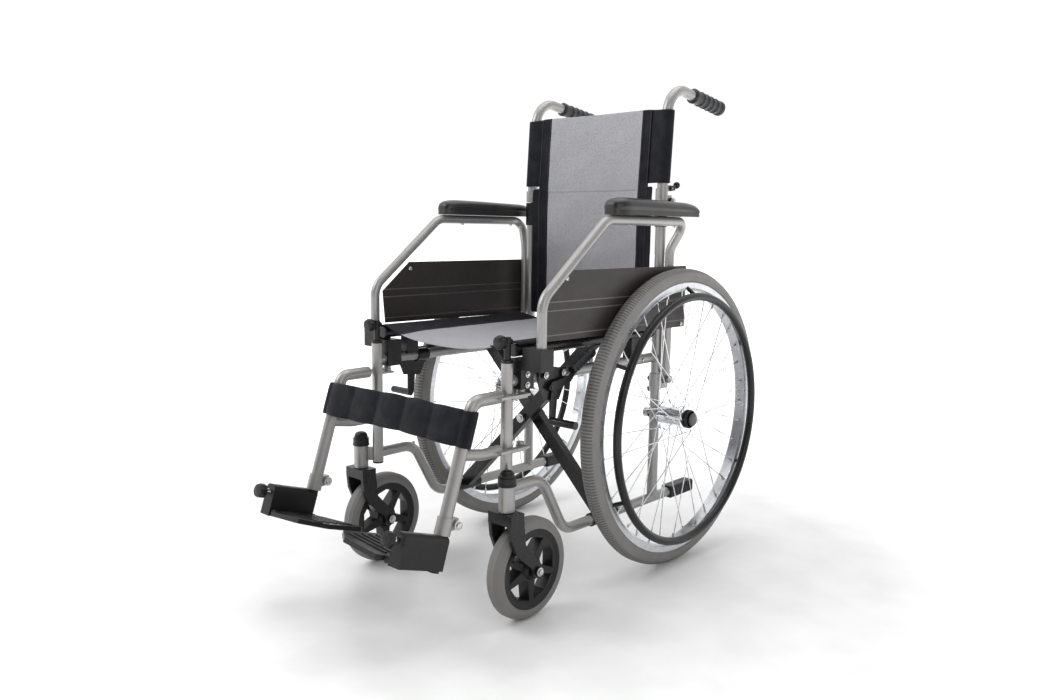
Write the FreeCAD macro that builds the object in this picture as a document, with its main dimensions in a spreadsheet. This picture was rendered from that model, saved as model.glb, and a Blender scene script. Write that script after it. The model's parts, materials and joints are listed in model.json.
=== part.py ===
"""Folding wheelchair with half-folding back, swing-away legrests and flip-back arms.

The origin is on the floor under the middle of the chair's outer box.  +Z is up, the chair faces -Y and the
sitter's left side is +X.  Every left-hand piece is modelled at its place and mirrored for the right.
Shapes are worked out from the point on the floor below the rear axle and then moved by axle_setback.
"""
import FreeCAD, Part
import math
import os

import Sketcher

SIZES = {
    # overall sizes
    "axle_setback": 206,
    "frame_half_width": 175,
    "wheelbase": 443,
    "wheel_radius": 300,
    # frame tubes
    "tube_radius": 10.5,
    "rail_radius": 10,
    "tube_wall": 1.5,
    "post_bottom": 215,
    "post_top": 450,
    "upper_rail_height": 418,
    "stub_rail_height": 232,
    "lower_rail_height": 120,
    "stub_rail_length": 91,
    "rail_drop_length": 64,
    "rail_bend": 45,
    "upright_top": 706,
    "tip_tube_length": 62,
    "collar_height": 32,
    "collar_wall": 3,
    # rear wheels
    "wheel_offset": 54,
    "tyre_width": 35,
    "tyre_depth": 28,
    "rim_radius": "=wheel_radius - tyre_depth",
    "hub_radius": 17,
    "hub_half_length": 28,
    "flange_radius": 31,
    "flange_thickness": 3,
    "spoke_count": 36,
    "spoke_radius": 1,
    "axle_radius": 6,
    "handrim_inset": 26,
    "handrim_radius": "=rim_radius - handrim_inset",
    "handrim_tube": 8,
    "handrim_offset": 34,
    "standoff_count": 6,
    # casters
    "caster_radius": 90,
    "caster_width": 32,
    "caster_trail": 52,
    "caster_side": 24,
    "caster_forward": 23,
    "housing_radius": 14,
    "housing_bottom": 203,
    "housing_top": 247,
    "dust_cap_height": 27,
    "stem_radius": 6,
    "caster_axle_radius": 4,
    # seat and cross braces
    "seat_tube_height": 470,
    "seat_tube_radius": 11,
    "seat_front_gap": 14,
    "seat_rear_gap": 26,
    "seat_sag": 20,
    "sling_thickness": 5,
    "brace_front": 205,
    "brace_spacing": 36,
    "brace_bar_width": 25,
    "brace_bar_depth": 18,
    "brace_sleeve_length": 76,
    "brace_sleeve_wall": 3,
    "brace_bolt_radius": 5,
    # back
    "hinge_height": 733,
    "ferrule_wall": 2,
    "hinge_ear_radius": 7,
    "hinge_gap": 0.5,
    "hinge_setback": "=tube_radius + ferrule_wall + hinge_ear_radius + hinge_gap",
    "handle_height": 961,
    "back_lean": 14,
    "handle_length": 205,
    "handle_drop": 26,
    "handle_bend": 52,
    "grip_length": 108,
    "grip_radius": 15.5,
    "back_top": 914,
    "back_bottom": 486,
    "sleeve_bottom": 768,
    # armrests
    "arm_offset": 47,
    "arm_tube_radius": 9,
    "arm_post_gap": 2.5,
    "arm_post_offset": "=tube_radius + arm_tube_radius + arm_post_gap",
    "arm_top": 692,
    "arm_bend_height": 556,
    "arm_front": 410,
    "arm_corner": 240,
    "arm_foot": 458,
    "arm_pivot_height": 372,
    "arm_pivot_setback": 14,
    "pad_length": 262,
    "pad_width": 50,
    "pad_height": 31,
    "panel_offset": 31.3,
    "panel_thickness": 3,
    "panel_top": 604,
    "panel_bottom": 480,
    # wheel locks
    "brake_front": 340,
    "brake_height": 392,
    "shoe_height": 338,
    "lever_length": 122,
    # legrests
    "hanger_pin_forward": 29,
    "hanger_pin_side": 5,
    "hanger_arm_radius": 9.5,
    "leg_tube_radius": 11,
    "upper_arm_height": 395,
    "lower_arm_height": 303,
    "leg_end_forward": 592,
    "leg_end_height": 190,
    "leg_tilt": 18,
    "inner_leg_length": 62,
    "plate_width": 138,
    "plate_length": 112,
    "plate_thickness": 8,
    "plate_roll": 4,
    "strap_height": 62,
    "strap_thickness": 9,
    # fits
    "running_clearance": 0.05,
    "sliding_clearance": 0.1,
    "soft_clearance": 0.8,
}

document = FreeCAD.newDocument("wheelchair")
sheet = document.addObject("Spreadsheet::Sheet", "Sizes")
for row, (alias, value) in enumerate(SIZES.items(), start=1):
    sheet.set(f"A{row}", alias)
    sheet.set(f"B{row}", str(value))
    sheet.setAlias(f"B{row}", alias)
document.recompute()


def size(alias):
    """A driving dimension, as the sheet holds it."""
    return float(sheet.get(alias))


X_AXIS = FreeCAD.Vector(1, 0, 0)
Y_AXIS = FreeCAD.Vector(0, 1, 0)
Z_AXIS = FreeCAD.Vector(0, 0, 1)
EXTRA = 1.0  # how far a cutting solid runs past the face it opens

frame_x = size("frame_half_width")
post_y = -size("wheelbase")
axle_z = size("wheel_radius")
wheel_x = frame_x + size("wheel_offset")
stem_x = frame_x + size("caster_side")
stem_y = post_y - size("caster_forward")
arm_x = frame_x + size("arm_offset")
arm_post_x = frame_x + size("arm_post_offset")
pin_x = frame_x + size("hanger_pin_side")
pin_y = post_y + size("hanger_pin_forward")
tube_radius = size("tube_radius")
tube_bore = tube_radius - size("tube_wall")
rail_radius = size("rail_radius")
rail_bore = rail_radius - size("tube_wall")
running = size("running_clearance")


# ---------------------------------------------------------------- shape helpers
def point(x, y, z):
    return FreeCAD.Vector(x, y, z)


def rod(start, end, radius):
    """A round bar between two points."""
    return Part.makeCylinder(radius, (end - start).Length, start, end - start)


def block(low, high):
    """A box from its lowest to its highest corner."""
    return Part.makeBox(high[0] - low[0], high[1] - low[1], high[2] - low[2], point(*low))


def bent_path(points, bend):
    """Straight runs joined by tangent arcs of one radius, shortened where a run is too short for it."""
    edges = []
    start = points[0]
    for before, corner, after in zip(points, points[1:], points[2:]):
        way_in = (corner - before).normalize()
        way_out = (after - corner).normalize()
        half_turn = way_in.getAngle(way_out) / 2
        shorter = min((corner - before).Length, (after - corner).Length)
        setback = min(bend * math.tan(half_turn), 0.45 * shorter)
        radius = setback / math.tan(half_turn)
        first = corner - way_in * setback
        last = corner + way_out * setback
        towards_centre = (way_out - way_in).normalize()
        middle = corner + towards_centre * (radius / math.cos(half_turn) - radius)
        edges.append(Part.LineSegment(start, first).toShape())
        edges.append(Part.Arc(first, middle, last).toShape())
        start = last
    edges.append(Part.LineSegment(start, points[-1]).toShape())
    return Part.Wire(edges)


def bent_rod(points, radius, bend):
    """A round bar along a bent path."""
    path = bent_path(points, bend)
    profile = Part.Wire(Part.makeCircle(radius, points[0], points[1] - points[0]))
    return path.makePipeShell([profile], True, False)


def slab(outline, thickness, normal):
    """A flat plate: an outline of points, given thickness along a direction."""
    face = Part.Face(Part.makePolygon([point(*corner) for corner in outline + outline[:1]]))
    return face.extrude(normal * thickness)


def fused(shapes):
    """One solid welded from several."""
    return shapes[0].multiFuse(shapes[1:]).removeSplitter()


# ---------------------------------------------------------------- document helpers
def finished_shape(name, shape):
    """A sub-part whose shape is worked out from the sheet with Part's own functions."""
    feature = document.addObject("Part::Feature", name)
    feature.Shape = shape
    feature.Placement.Base = FreeCAD.Vector(0, size("axle_setback"), 0)
    feature.Label = name
    return feature


def new_body(name, base=("0", "0", "0"), rotation=None):
    """A body at a place given by three expressions, measured from below the rear axle."""
    body = document.addObject("PartDesign::Body", name)
    body.Label = name
    if rotation:
        body.Placement.Rotation = rotation
    for axis, expression in zip("xyz", base):
        shift = " + Sizes.axle_setback" if axis == "y" else ""
        body.setExpression(f"Placement.Base.{axis}", expression + shift)
    return body


def origin_feature(body, role):
    return next(item for item in body.Origin.OriginFeatures if item.Role == role)


def new_sketch(body, plane, name="outline"):
    sketch = body.newObject("Sketcher::SketchObject", name)
    sketch.AttachmentSupport = [(origin_feature(body, plane), "")]
    sketch.MapMode = "FlatFace"
    return sketch


def polygon(sketch, corners):
    """A closed outline whose corners are pairs of expressions."""
    places = [(evaluate(across), evaluate(along)) for across, along in corners]
    first_edge = sketch.GeometryCount
    count = len(corners)
    for number in range(count):
        here = FreeCAD.Vector(*places[number], 0)
        there = FreeCAD.Vector(*places[(number + 1) % count], 0)
        sketch.addGeometry(Part.LineSegment(here, there), False)
    for number in range(count):
        following = first_edge + (number + 1) % count
        sketch.addConstraint(Sketcher.Constraint("Coincident", first_edge + number, 2, following, 1))
    for number, (across, along) in enumerate(corners):
        value = places[number]
        edge = first_edge + number
        for kind, expression, distance in (("DistanceX", across, value[0]), ("DistanceY", along, value[1])):
            index = sketch.addConstraint(Sketcher.Constraint(kind, -1, 1, edge, 1, distance))
            sketch.setExpression(f"Constraints[{index}]", expression)


def evaluate(expression):
    """The value of an expression on the sheet, used to draw a sketch near its final shape."""
    return float(sheet.evalExpression(expression.replace("Sizes.", "")))


def circle(sketch, across, along, radius):
    """A circle whose centre and radius are expressions."""
    centre = FreeCAD.Vector(evaluate(across), evaluate(along), 0)
    edge = sketch.addGeometry(Part.Circle(centre, FreeCAD.Vector(0, 0, 1), evaluate(radius)), False)
    for kind, expression, value in (("DistanceX", across, centre.x), ("DistanceY", along, centre.y)):
        index = sketch.addConstraint(Sketcher.Constraint(kind, -1, 1, edge, 3, value))
        sketch.setExpression(f"Constraints[{index}]", expression)
    index = sketch.addConstraint(Sketcher.Constraint("Radius", edge, evaluate(radius)))
    sketch.setExpression(f"Constraints[{index}]", radius)


def revolve(body, sketch, axis_role="X_Axis", kind="PartDesign::Revolution"):
    feature = body.newObject(kind, "turned")
    feature.Profile = sketch
    feature.ReferenceAxis = (origin_feature(body, axis_role), [""])
    feature.Angle = 360
    document.recompute()
    return feature


def pad(body, sketch, length, midplane=False, reverse=False):
    feature = body.newObject("PartDesign::Pad", "padded")
    feature.Profile = sketch
    feature.setExpression("Length", length)
    feature.Midplane = midplane
    feature.Reversed = reverse
    document.recompute()
    return feature


def fillet(body, chosen, radius):
    """Rounds the edges of the body's last feature that a test picks out."""
    document.recompute()
    base = body.Tip
    names = [f"Edge{n}" for n, edge in enumerate(base.Shape.Edges, start=1) if chosen(edge)]
    feature = body.newObject("PartDesign::Fillet", "rounded")
    feature.Base = (base, names)
    feature.Radius = radius
    document.recompute()
    return feature


left_parts = []
centre_parts = []
WHEEL_BASE = ("Sizes.frame_half_width + Sizes.wheel_offset", "0", "Sizes.wheel_radius")
CASTER_BASE = (
    "Sizes.frame_half_width + Sizes.caster_side",
    "Sizes.caster_trail - Sizes.wheelbase - Sizes.caster_forward",
    "Sizes.caster_radius",
)


# ---------------------------------------------------------------- rear wheel
def make_tyre():
    body = new_body("tyre", WHEEL_BASE)
    sketch = new_sketch(body, "XY_Plane")
    half = "Sizes.tyre_width / 2"
    polygon(sketch, [
        (f"0 - {half} * 0.55", "Sizes.rim_radius - 6"),
        (f"0 - {half}", "Sizes.rim_radius + 4"),
        (f"0 - {half}", "Sizes.wheel_radius - 14"),
        (f"0 - {half} * 0.66", "Sizes.wheel_radius - 4"),
        (f"0 - {half} * 0.3", "Sizes.wheel_radius"),
        (f"{half} * 0.3", "Sizes.wheel_radius"),
        (f"{half} * 0.66", "Sizes.wheel_radius - 4"),
        (half, "Sizes.wheel_radius - 14"),
        (half, "Sizes.rim_radius + 4"),
        (f"{half} * 0.55", "Sizes.rim_radius - 6"),
    ])
    revolve(body, sketch)
    left_parts.append(body)


def make_rim():
    body = new_body("rim", WHEEL_BASE)
    sketch = new_sketch(body, "XY_Plane")
    half = "Sizes.tyre_width / 2"
    polygon(sketch, [
        (f"2 - {half}", "Sizes.rim_radius + 1"),
        (f"2 - {half}", "Sizes.rim_radius - 10"),
        (f"6 - {half}", "Sizes.rim_radius - 15"),
        (f"{half} - 6", "Sizes.rim_radius - 15"),
        (f"{half} - 2", "Sizes.rim_radius - 10"),
        (f"{half} - 2", "Sizes.rim_radius + 1"),
        (f"{half} - 4.5", "Sizes.rim_radius - 2.2"),
        (f"{half} * 0.55 + 0.5", "Sizes.rim_radius - 6.5"),
        (f"0 - {half} * 0.55 - 0.5", "Sizes.rim_radius - 6.5"),
        (f"4.5 - {half}", "Sizes.rim_radius - 2.2"),
    ])
    revolve(body, sketch)
    left_parts.append(body)


def make_hub():
    body = new_body("hub", WHEEL_BASE)
    sketch = new_sketch(body, "XY_Plane")
    bore = "Sizes.axle_radius + Sizes.running_clearance"
    flange = "Sizes.hub_half_length - Sizes.flange_thickness"
    polygon(sketch, [
        ("0 - Sizes.hub_half_length - 2", bore),
        ("0 - Sizes.hub_half_length - 2", "Sizes.hub_radius - 3"),
        ("0 - Sizes.hub_half_length", "Sizes.hub_radius"),
        ("0 - Sizes.hub_half_length", "Sizes.flange_radius"),
        (f"0 - ({flange})", "Sizes.flange_radius"),
        (f"0 - ({flange})", "Sizes.hub_radius"),
        (flange, "Sizes.hub_radius"),
        (flange, "Sizes.flange_radius"),
        ("Sizes.hub_half_length", "Sizes.flange_radius"),
        ("Sizes.hub_half_length", "Sizes.hub_radius"),
        ("Sizes.hub_half_length + 7", "Sizes.hub_radius - 1"),
        ("Sizes.hub_half_length + 7", bore),
    ])
    revolve(body, sketch)
    left_parts.append(body)


def make_spokes():
    """Tangent spokes: half from each flange, alternately leading and trailing, every head on its own face."""
    count = int(size("spoke_count"))
    hole_radius = size("flange_radius") - 4
    rim_bed = size("rim_radius") - 14.5
    crossing = math.radians(3.3 * 360 / (count / 2))
    spokes = []
    for number in range(count):
        side = 1 if number % 2 else -1
        lead = 1 if (number // 2) % 2 else -1
        at_rim = math.tau * number / count
        at_hub = at_rim + lead * crossing
        face = size("hub_half_length") - size("flange_thickness") / 2
        head_x = wheel_x + side * (face + lead * (size("flange_thickness") / 2 + 0.6))
        head = point(head_x, hole_radius * math.cos(at_hub), axle_z + hole_radius * math.sin(at_hub))
        nipple = point(wheel_x + side * 2, rim_bed * math.cos(at_rim), axle_z + rim_bed * math.sin(at_rim))
        spokes.append(rod(head, nipple, size("spoke_radius")))
    left_parts.append(finished_shape("spokes", Part.makeCompound(spokes)))


def make_handrim():
    """The hoop the sitter pushes, on brackets that reach in to the rim."""
    hoop_x = wheel_x + size("handrim_offset")
    centre = point(hoop_x, 0, axle_z)
    hoop = Part.makeTorus(size("handrim_radius"), size("handrim_tube"), centre, X_AXIS)
    pieces = [hoop]
    rim_face = wheel_x + size("tyre_width") / 2 - 2
    for number in range(int(size("standoff_count"))):
        angle = math.tau * (number + 0.5) / size("standoff_count")
        outward = point(0, math.cos(angle), math.sin(angle))
        outer = centre + outward * (size("handrim_radius") + 2)
        inner = point(rim_face - 3, 0, axle_z) + outward * (size("rim_radius") - 9)
        pieces.append(rod(outer, inner, 4))
    reach = size("wheel_radius")
    beyond = block((rim_face - 20, -reach, 0), (rim_face, reach, 2 * reach))
    left_parts.append(finished_shape("handrim", fused(pieces).cut(beyond)))


def make_wheel_axle():
    """The axle bolt, its head outside the hub and its nut inside the upright."""
    outer_face = wheel_x + size("hub_half_length") + 7.3
    inner_face = frame_x - tube_radius
    shaft = rod(point(inner_face - 8, 0, axle_z), point(outer_face + 2, 0, axle_z), size("axle_radius"))
    head = rod(point(outer_face, 0, axle_z), point(outer_face + 5, 0, axle_z), 11)
    nut = rod(point(inner_face - 12, 0, axle_z), point(inner_face - 0.3, 0, axle_z), 10)
    hub_face = wheel_x - size("hub_half_length") - 2
    spacer = rod(point(frame_x + tube_radius + 0.3, 0, axle_z), point(hub_face - 0.3, 0, axle_z), 9)
    left_parts.append(finished_shape("wheel_axle", fused([shaft, head, nut, spacer])))


# ---------------------------------------------------------------- caster
def make_fork():
    """Crown, two legs that sweep back to the axle, the stem in its housing and the axle bolt."""
    bottom = size("housing_bottom")
    axle = point(stem_x, stem_y + size("caster_trail"), size("caster_radius"))
    reach = size("caster_width") / 2 + 4
    leg = 7
    crown_low = size("caster_radius") * 2 + 3
    crown = block((stem_x - reach - leg, stem_y - 17, crown_low), (stem_x + reach + leg, stem_y + 15, bottom - 1))
    profile = [
        (stem_y - 17, crown_low + 4), (stem_y + 15, crown_low + 4), (stem_y + 20, crown_low - 38),
        (axle.y + 6, axle.z + 14), (axle.y + 13, axle.z), (axle.y + 6, axle.z - 12), (axle.y - 9, axle.z - 11),
        (axle.y - 15, axle.z + 8), (stem_y - 2, crown_low - 52), (stem_y - 14, crown_low - 24),
    ]
    legs = []
    for side in (-1, 1):
        near = stem_x + (reach if side > 0 else -reach - leg)
        legs.append(slab([(near, y, z) for y, z in profile], leg, X_AXIS))
    stem_radius = size("stem_radius")
    stem = rod(point(stem_x, stem_y, bottom - 8), point(stem_x, stem_y, size("housing_top") - 1), stem_radius)
    bearing = rod(point(stem_x, stem_y, bottom - 2), point(stem_x, stem_y, bottom - 0.5), stem_radius + 4)
    half = reach + leg + 4
    bolt_radius = size("caster_axle_radius")
    bolt = rod(axle - X_AXIS * half, axle + X_AXIS * half, bolt_radius)
    heads = [rod(axle + X_AXIS * (side * half), axle + X_AXIS * (side * (half - 5)), 8) for side in (-1, 1)]
    left_parts.append(finished_shape("fork", fused([crown, *legs, stem, bearing, bolt, *heads])))


def make_caster_wheel():
    """The moulded wheel: a rim and a hub joined by five spokes, cut from a turned blank."""
    body = new_body("caster_wheel", CASTER_BASE)
    sketch = new_sketch(body, "XY_Plane")
    half = "Sizes.caster_width / 2"
    polygon(sketch, [
        (f"0 - {half} - 2", "Sizes.caster_axle_radius + Sizes.running_clearance"),
        (f"0 - {half} - 2", "15"),
        (f"4 - {half}", "19"),
        (f"4 - {half}", "Sizes.caster_radius - 29"),
        (f"0 - {half} + 2", "Sizes.caster_radius - 19.5"),
        (f"{half} - 2", "Sizes.caster_radius - 19.5"),
        (f"{half} - 4", "Sizes.caster_radius - 29"),
        (f"{half} - 4", "19"),
        (f"{half} + 2", "15"),
        (f"{half} + 2", "Sizes.caster_axle_radius + Sizes.running_clearance"),
    ])
    revolve(body, sketch)
    window = new_sketch(body, "YZ_Plane", "window")
    polygon(window, [
        ("6", "23"),
        ("(Sizes.caster_radius - 29) * 0.48", "(Sizes.caster_radius - 29) * 0.8"),
        ("0", "Sizes.caster_radius - 32"),
        ("0 - (Sizes.caster_radius - 29) * 0.48", "(Sizes.caster_radius - 29) * 0.8"),
        ("-6", "23"),
    ])
    pocket = body.newObject("PartDesign::Pocket", "window_cut")
    pocket.Profile = window
    pocket.Type = "ThroughAll"
    pocket.Midplane = True
    document.recompute()
    pattern = body.newObject("PartDesign::PolarPattern", "windows")
    pattern.Originals = [pocket]
    pattern.Axis = (origin_feature(body, "X_Axis"), [""])
    pattern.Angle = 360
    pattern.Occurrences = 5
    body.Tip = pattern
    document.recompute()
    left_parts.append(body)


def make_caster_tyre():
    body = new_body("caster_tyre", CASTER_BASE)
    sketch = new_sketch(body, "XY_Plane")
    half = "Sizes.caster_width / 2"
    polygon(sketch, [
        (f"1 - {half}", "Sizes.caster_radius - 19"),
        (f"0 - {half}", "Sizes.caster_radius - 11"),
        (f"0 - {half} * 0.8", "Sizes.caster_radius - 4"),
        (f"0 - {half} * 0.4", "Sizes.caster_radius"),
        (f"{half} * 0.4", "Sizes.caster_radius"),
        (f"{half} * 0.8", "Sizes.caster_radius - 4"),
        (half, "Sizes.caster_radius - 11"),
        (f"{half} - 1", "Sizes.caster_radius - 19"),
    ])
    revolve(body, sketch)
    left_parts.append(body)


# ---------------------------------------------------------------- side frame
def make_side_frame():
    """The welded side frame: posts, rails, caster housing, arm bracket, hanger pins and their lugs."""
    post_foot = point(frame_x, post_y, size("post_bottom"))
    post_head = point(frame_x, post_y, size("post_top"))
    rail_z = size("upper_rail_height")
    low_z = size("lower_rail_height")
    stub_z = size("stub_rail_height")
    bend_y = post_y + size("stub_rail_length")
    tip_y = size("tip_tube_length")
    posts = [
        [post_foot, post_head],
        [point(frame_x, 0, low_z), point(frame_x, 0, size("upright_top"))],
    ]
    rails = [
        [point(frame_x, post_y, rail_z), point(frame_x, 0, rail_z)],
        [point(frame_x, post_y, stub_z), point(frame_x, bend_y, stub_z),
         point(frame_x, bend_y + size("rail_drop_length"), low_z), point(frame_x, tip_y, low_z)],
    ]
    bend = size("rail_bend")
    outer = [bent_rod(run, tube_radius, bend) for run in posts] + [bent_rod(run, rail_radius, bend) for run in rails]
    inner = [bent_rod(run, tube_bore, bend) for run in posts] + [bent_rod(run, rail_bore, bend) for run in rails]
    open_ends = [
        rod(post_head - Z_AXIS, post_head + Z_AXIS * EXTRA, tube_bore),
        rod(post_foot - Z_AXIS * EXTRA, post_foot + Z_AXIS, tube_bore),
    ]
    housing_low = size("housing_bottom")
    housing_high = size("housing_top")
    stem_foot = point(stem_x, stem_y, housing_low)
    housing = rod(stem_foot, point(stem_x, stem_y, housing_high), size("housing_radius"))
    stem_bore = rod(stem_foot - Z_AXIS, point(stem_x, stem_y, housing_high + EXTRA), size("stem_radius") + running)
    span = stem_foot - point(frame_x, post_y, housing_low)
    across = point(-span.y, span.x, 0).normalize() * 3
    corners = [point(frame_x, post_y, 0) + across, point(frame_x, post_y, 0) - across]
    corners += [point(stem_x, stem_y, 0) - across, point(stem_x, stem_y, 0) + across]
    web = slab([(corner.x, corner.y, stub_z - 15) for corner in corners], 26, Z_AXIS)
    pivot = point(frame_x, size("arm_pivot_setback"), size("arm_pivot_height"))
    collar_low = pivot.z - size("collar_height") / 2 - 4
    collar_radius = tube_radius + size("collar_wall")
    collar = rod(point(frame_x, 0, collar_low), point(frame_x, 0, collar_low + size("collar_height")), collar_radius)
    bracket_x = arm_post_x - size("arm_tube_radius") - 5
    bracket = block((bracket_x, -8, collar_low), (bracket_x + 4, pivot.y + 14, collar_low + size("collar_height")))
    arm_pin = rod(point(bracket_x, pivot.y, pivot.z), point(arm_post_x + 1, pivot.y, pivot.z), 4)
    arm_pin_head = rod(point(arm_post_x + 0.5, pivot.y, pivot.z), point(arm_post_x + 4, pivot.y, pivot.z), 8)
    solids = [*outer, housing, web, collar, bracket, arm_pin, arm_pin_head]
    for arm_z in (size("upper_arm_height"), size("lower_arm_height")):
        lug = block((pin_x - 10, post_y + 2, arm_z - 7), (pin_x + 8, pin_y + 9, arm_z - 3))
        shank = rod(point(pin_x, pin_y, arm_z - 7), point(pin_x, pin_y, arm_z + 4), 4)
        head = rod(point(pin_x, pin_y, arm_z + 3), point(pin_x, pin_y, arm_z + 8), 7)
        solids += [lug, shank, head]
    axle_hole = rod(point(frame_x - 40, 0, axle_z), point(frame_x + 40, 0, axle_z), size("axle_radius"))
    shape = fused(solids).cut(fused(inner)).cut(Part.makeCompound([*open_ends, stem_bore, axle_hole]))
    left_parts.append(finished_shape("side_frame", shape))


def make_end_caps():
    """Black mouldings: the tipping-lever grip, the caster dust cap and the plug under the front post."""
    low_z = size("lower_rail_height")
    tip_y = size("tip_tube_length")
    grip = block((frame_x - 13, tip_y - 8, low_z - 12.5), (frame_x + 13, tip_y + 80, low_z + 13.5))
    grip = grip.makeFillet(4, grip.Edges)
    socket = rod(point(frame_x, tip_y - 20, low_z), point(frame_x, tip_y, low_z), rail_radius)
    cap_low = size("housing_top")
    cap_radius = size("housing_radius") + 1.5
    skirt = rod(point(stem_x, stem_y, cap_low), point(stem_x, stem_y, cap_low + 15), cap_radius)
    dome = rod(point(stem_x, stem_y, cap_low + 15), point(stem_x, stem_y, cap_low + size("dust_cap_height")), 13)
    dome = dome.makeFillet(9, [dome.Edges[0]] if dome.Edges[0].BoundBox.ZMin > cap_low + 20 else [dome.Edges[2]])
    cap = fused([skirt, dome])
    hollow = rod(point(stem_x, stem_y, cap_low - EXTRA), point(stem_x, stem_y, cap_low + 10), 10)
    bottom = size("post_bottom")
    plug = rod(point(frame_x, post_y, bottom - 3), point(frame_x, post_y, bottom), tube_radius)
    left_parts.append(finished_shape("end_caps", Part.makeCompound([grip.cut(socket), cap.cut(hollow), plug])))


def make_arm_socket():
    """The clamp on the upper rail with the open cup that the arm's front end drops into."""
    rail_z = size("upper_rail_height")
    seat_low = size("seat_tube_height") - size("seat_tube_radius")
    cup_y = -size("arm_front")
    outer_x = arm_x + size("arm_tube_radius") + 5
    clamp = block((frame_x - 14, cup_y - 17, rail_z - 14), (frame_x + 17, cup_y + 16, seat_low - 4))
    cup = block((frame_x + 15, cup_y - 17, rail_z + 20), (outer_x, cup_y + 16, size("arm_foot") + 18))
    inside_x = frame_x + size("seat_tube_radius") + 8
    relief = block((frame_x, cup_y - 20, seat_low - 4), (inside_x, cup_y + 20, size("arm_foot") + 40))
    body = fused([clamp, cup]).cut(relief)
    rail_hole = rod(point(frame_x, cup_y - 30, rail_z), point(frame_x, cup_y + 30, rail_z), rail_radius)
    radius = size("arm_tube_radius") + 1
    foot = size("arm_foot")
    cup_hole = rod(point(arm_x, cup_y, foot), point(arm_x, cup_y, foot + 30), radius)
    mouth = block((arm_x - radius, cup_y, foot), (arm_x + radius, cup_y + 30, foot + 30))
    left_parts.append(finished_shape("arm_socket", body.cut(Part.makeCompound([rail_hole, cup_hole, mouth]))))


def make_seat_saddles():
    """Two cradles on the upper rail that the seat tube drops into."""
    rail_z = size("upper_rail_height")
    seat_z = size("seat_tube_height")
    saddles = []
    for place in (post_y + 82, post_y + 355):
        saddle = block((frame_x - 10.4, place - 14, rail_z + 6), (frame_x + 10.4, place + 14, seat_z))
        rail = rod(point(frame_x, place - 20, rail_z), point(frame_x, place + 20, rail_z), rail_radius)
        seat_radius = size("seat_tube_radius") + size("soft_clearance")
        tube = rod(point(frame_x, place - 20, seat_z), point(frame_x, place + 20, seat_z), seat_radius)
        saddles.append(saddle.cut(rail).cut(tube))
    left_parts.append(finished_shape("seat_saddles", Part.makeCompound(saddles)))


# ---------------------------------------------------------------- wheel lock
BRAKE_LAYER = 4.0  # one plate and the gap to the next, across the chair
BRAKE_PLATE = 3.0


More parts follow.
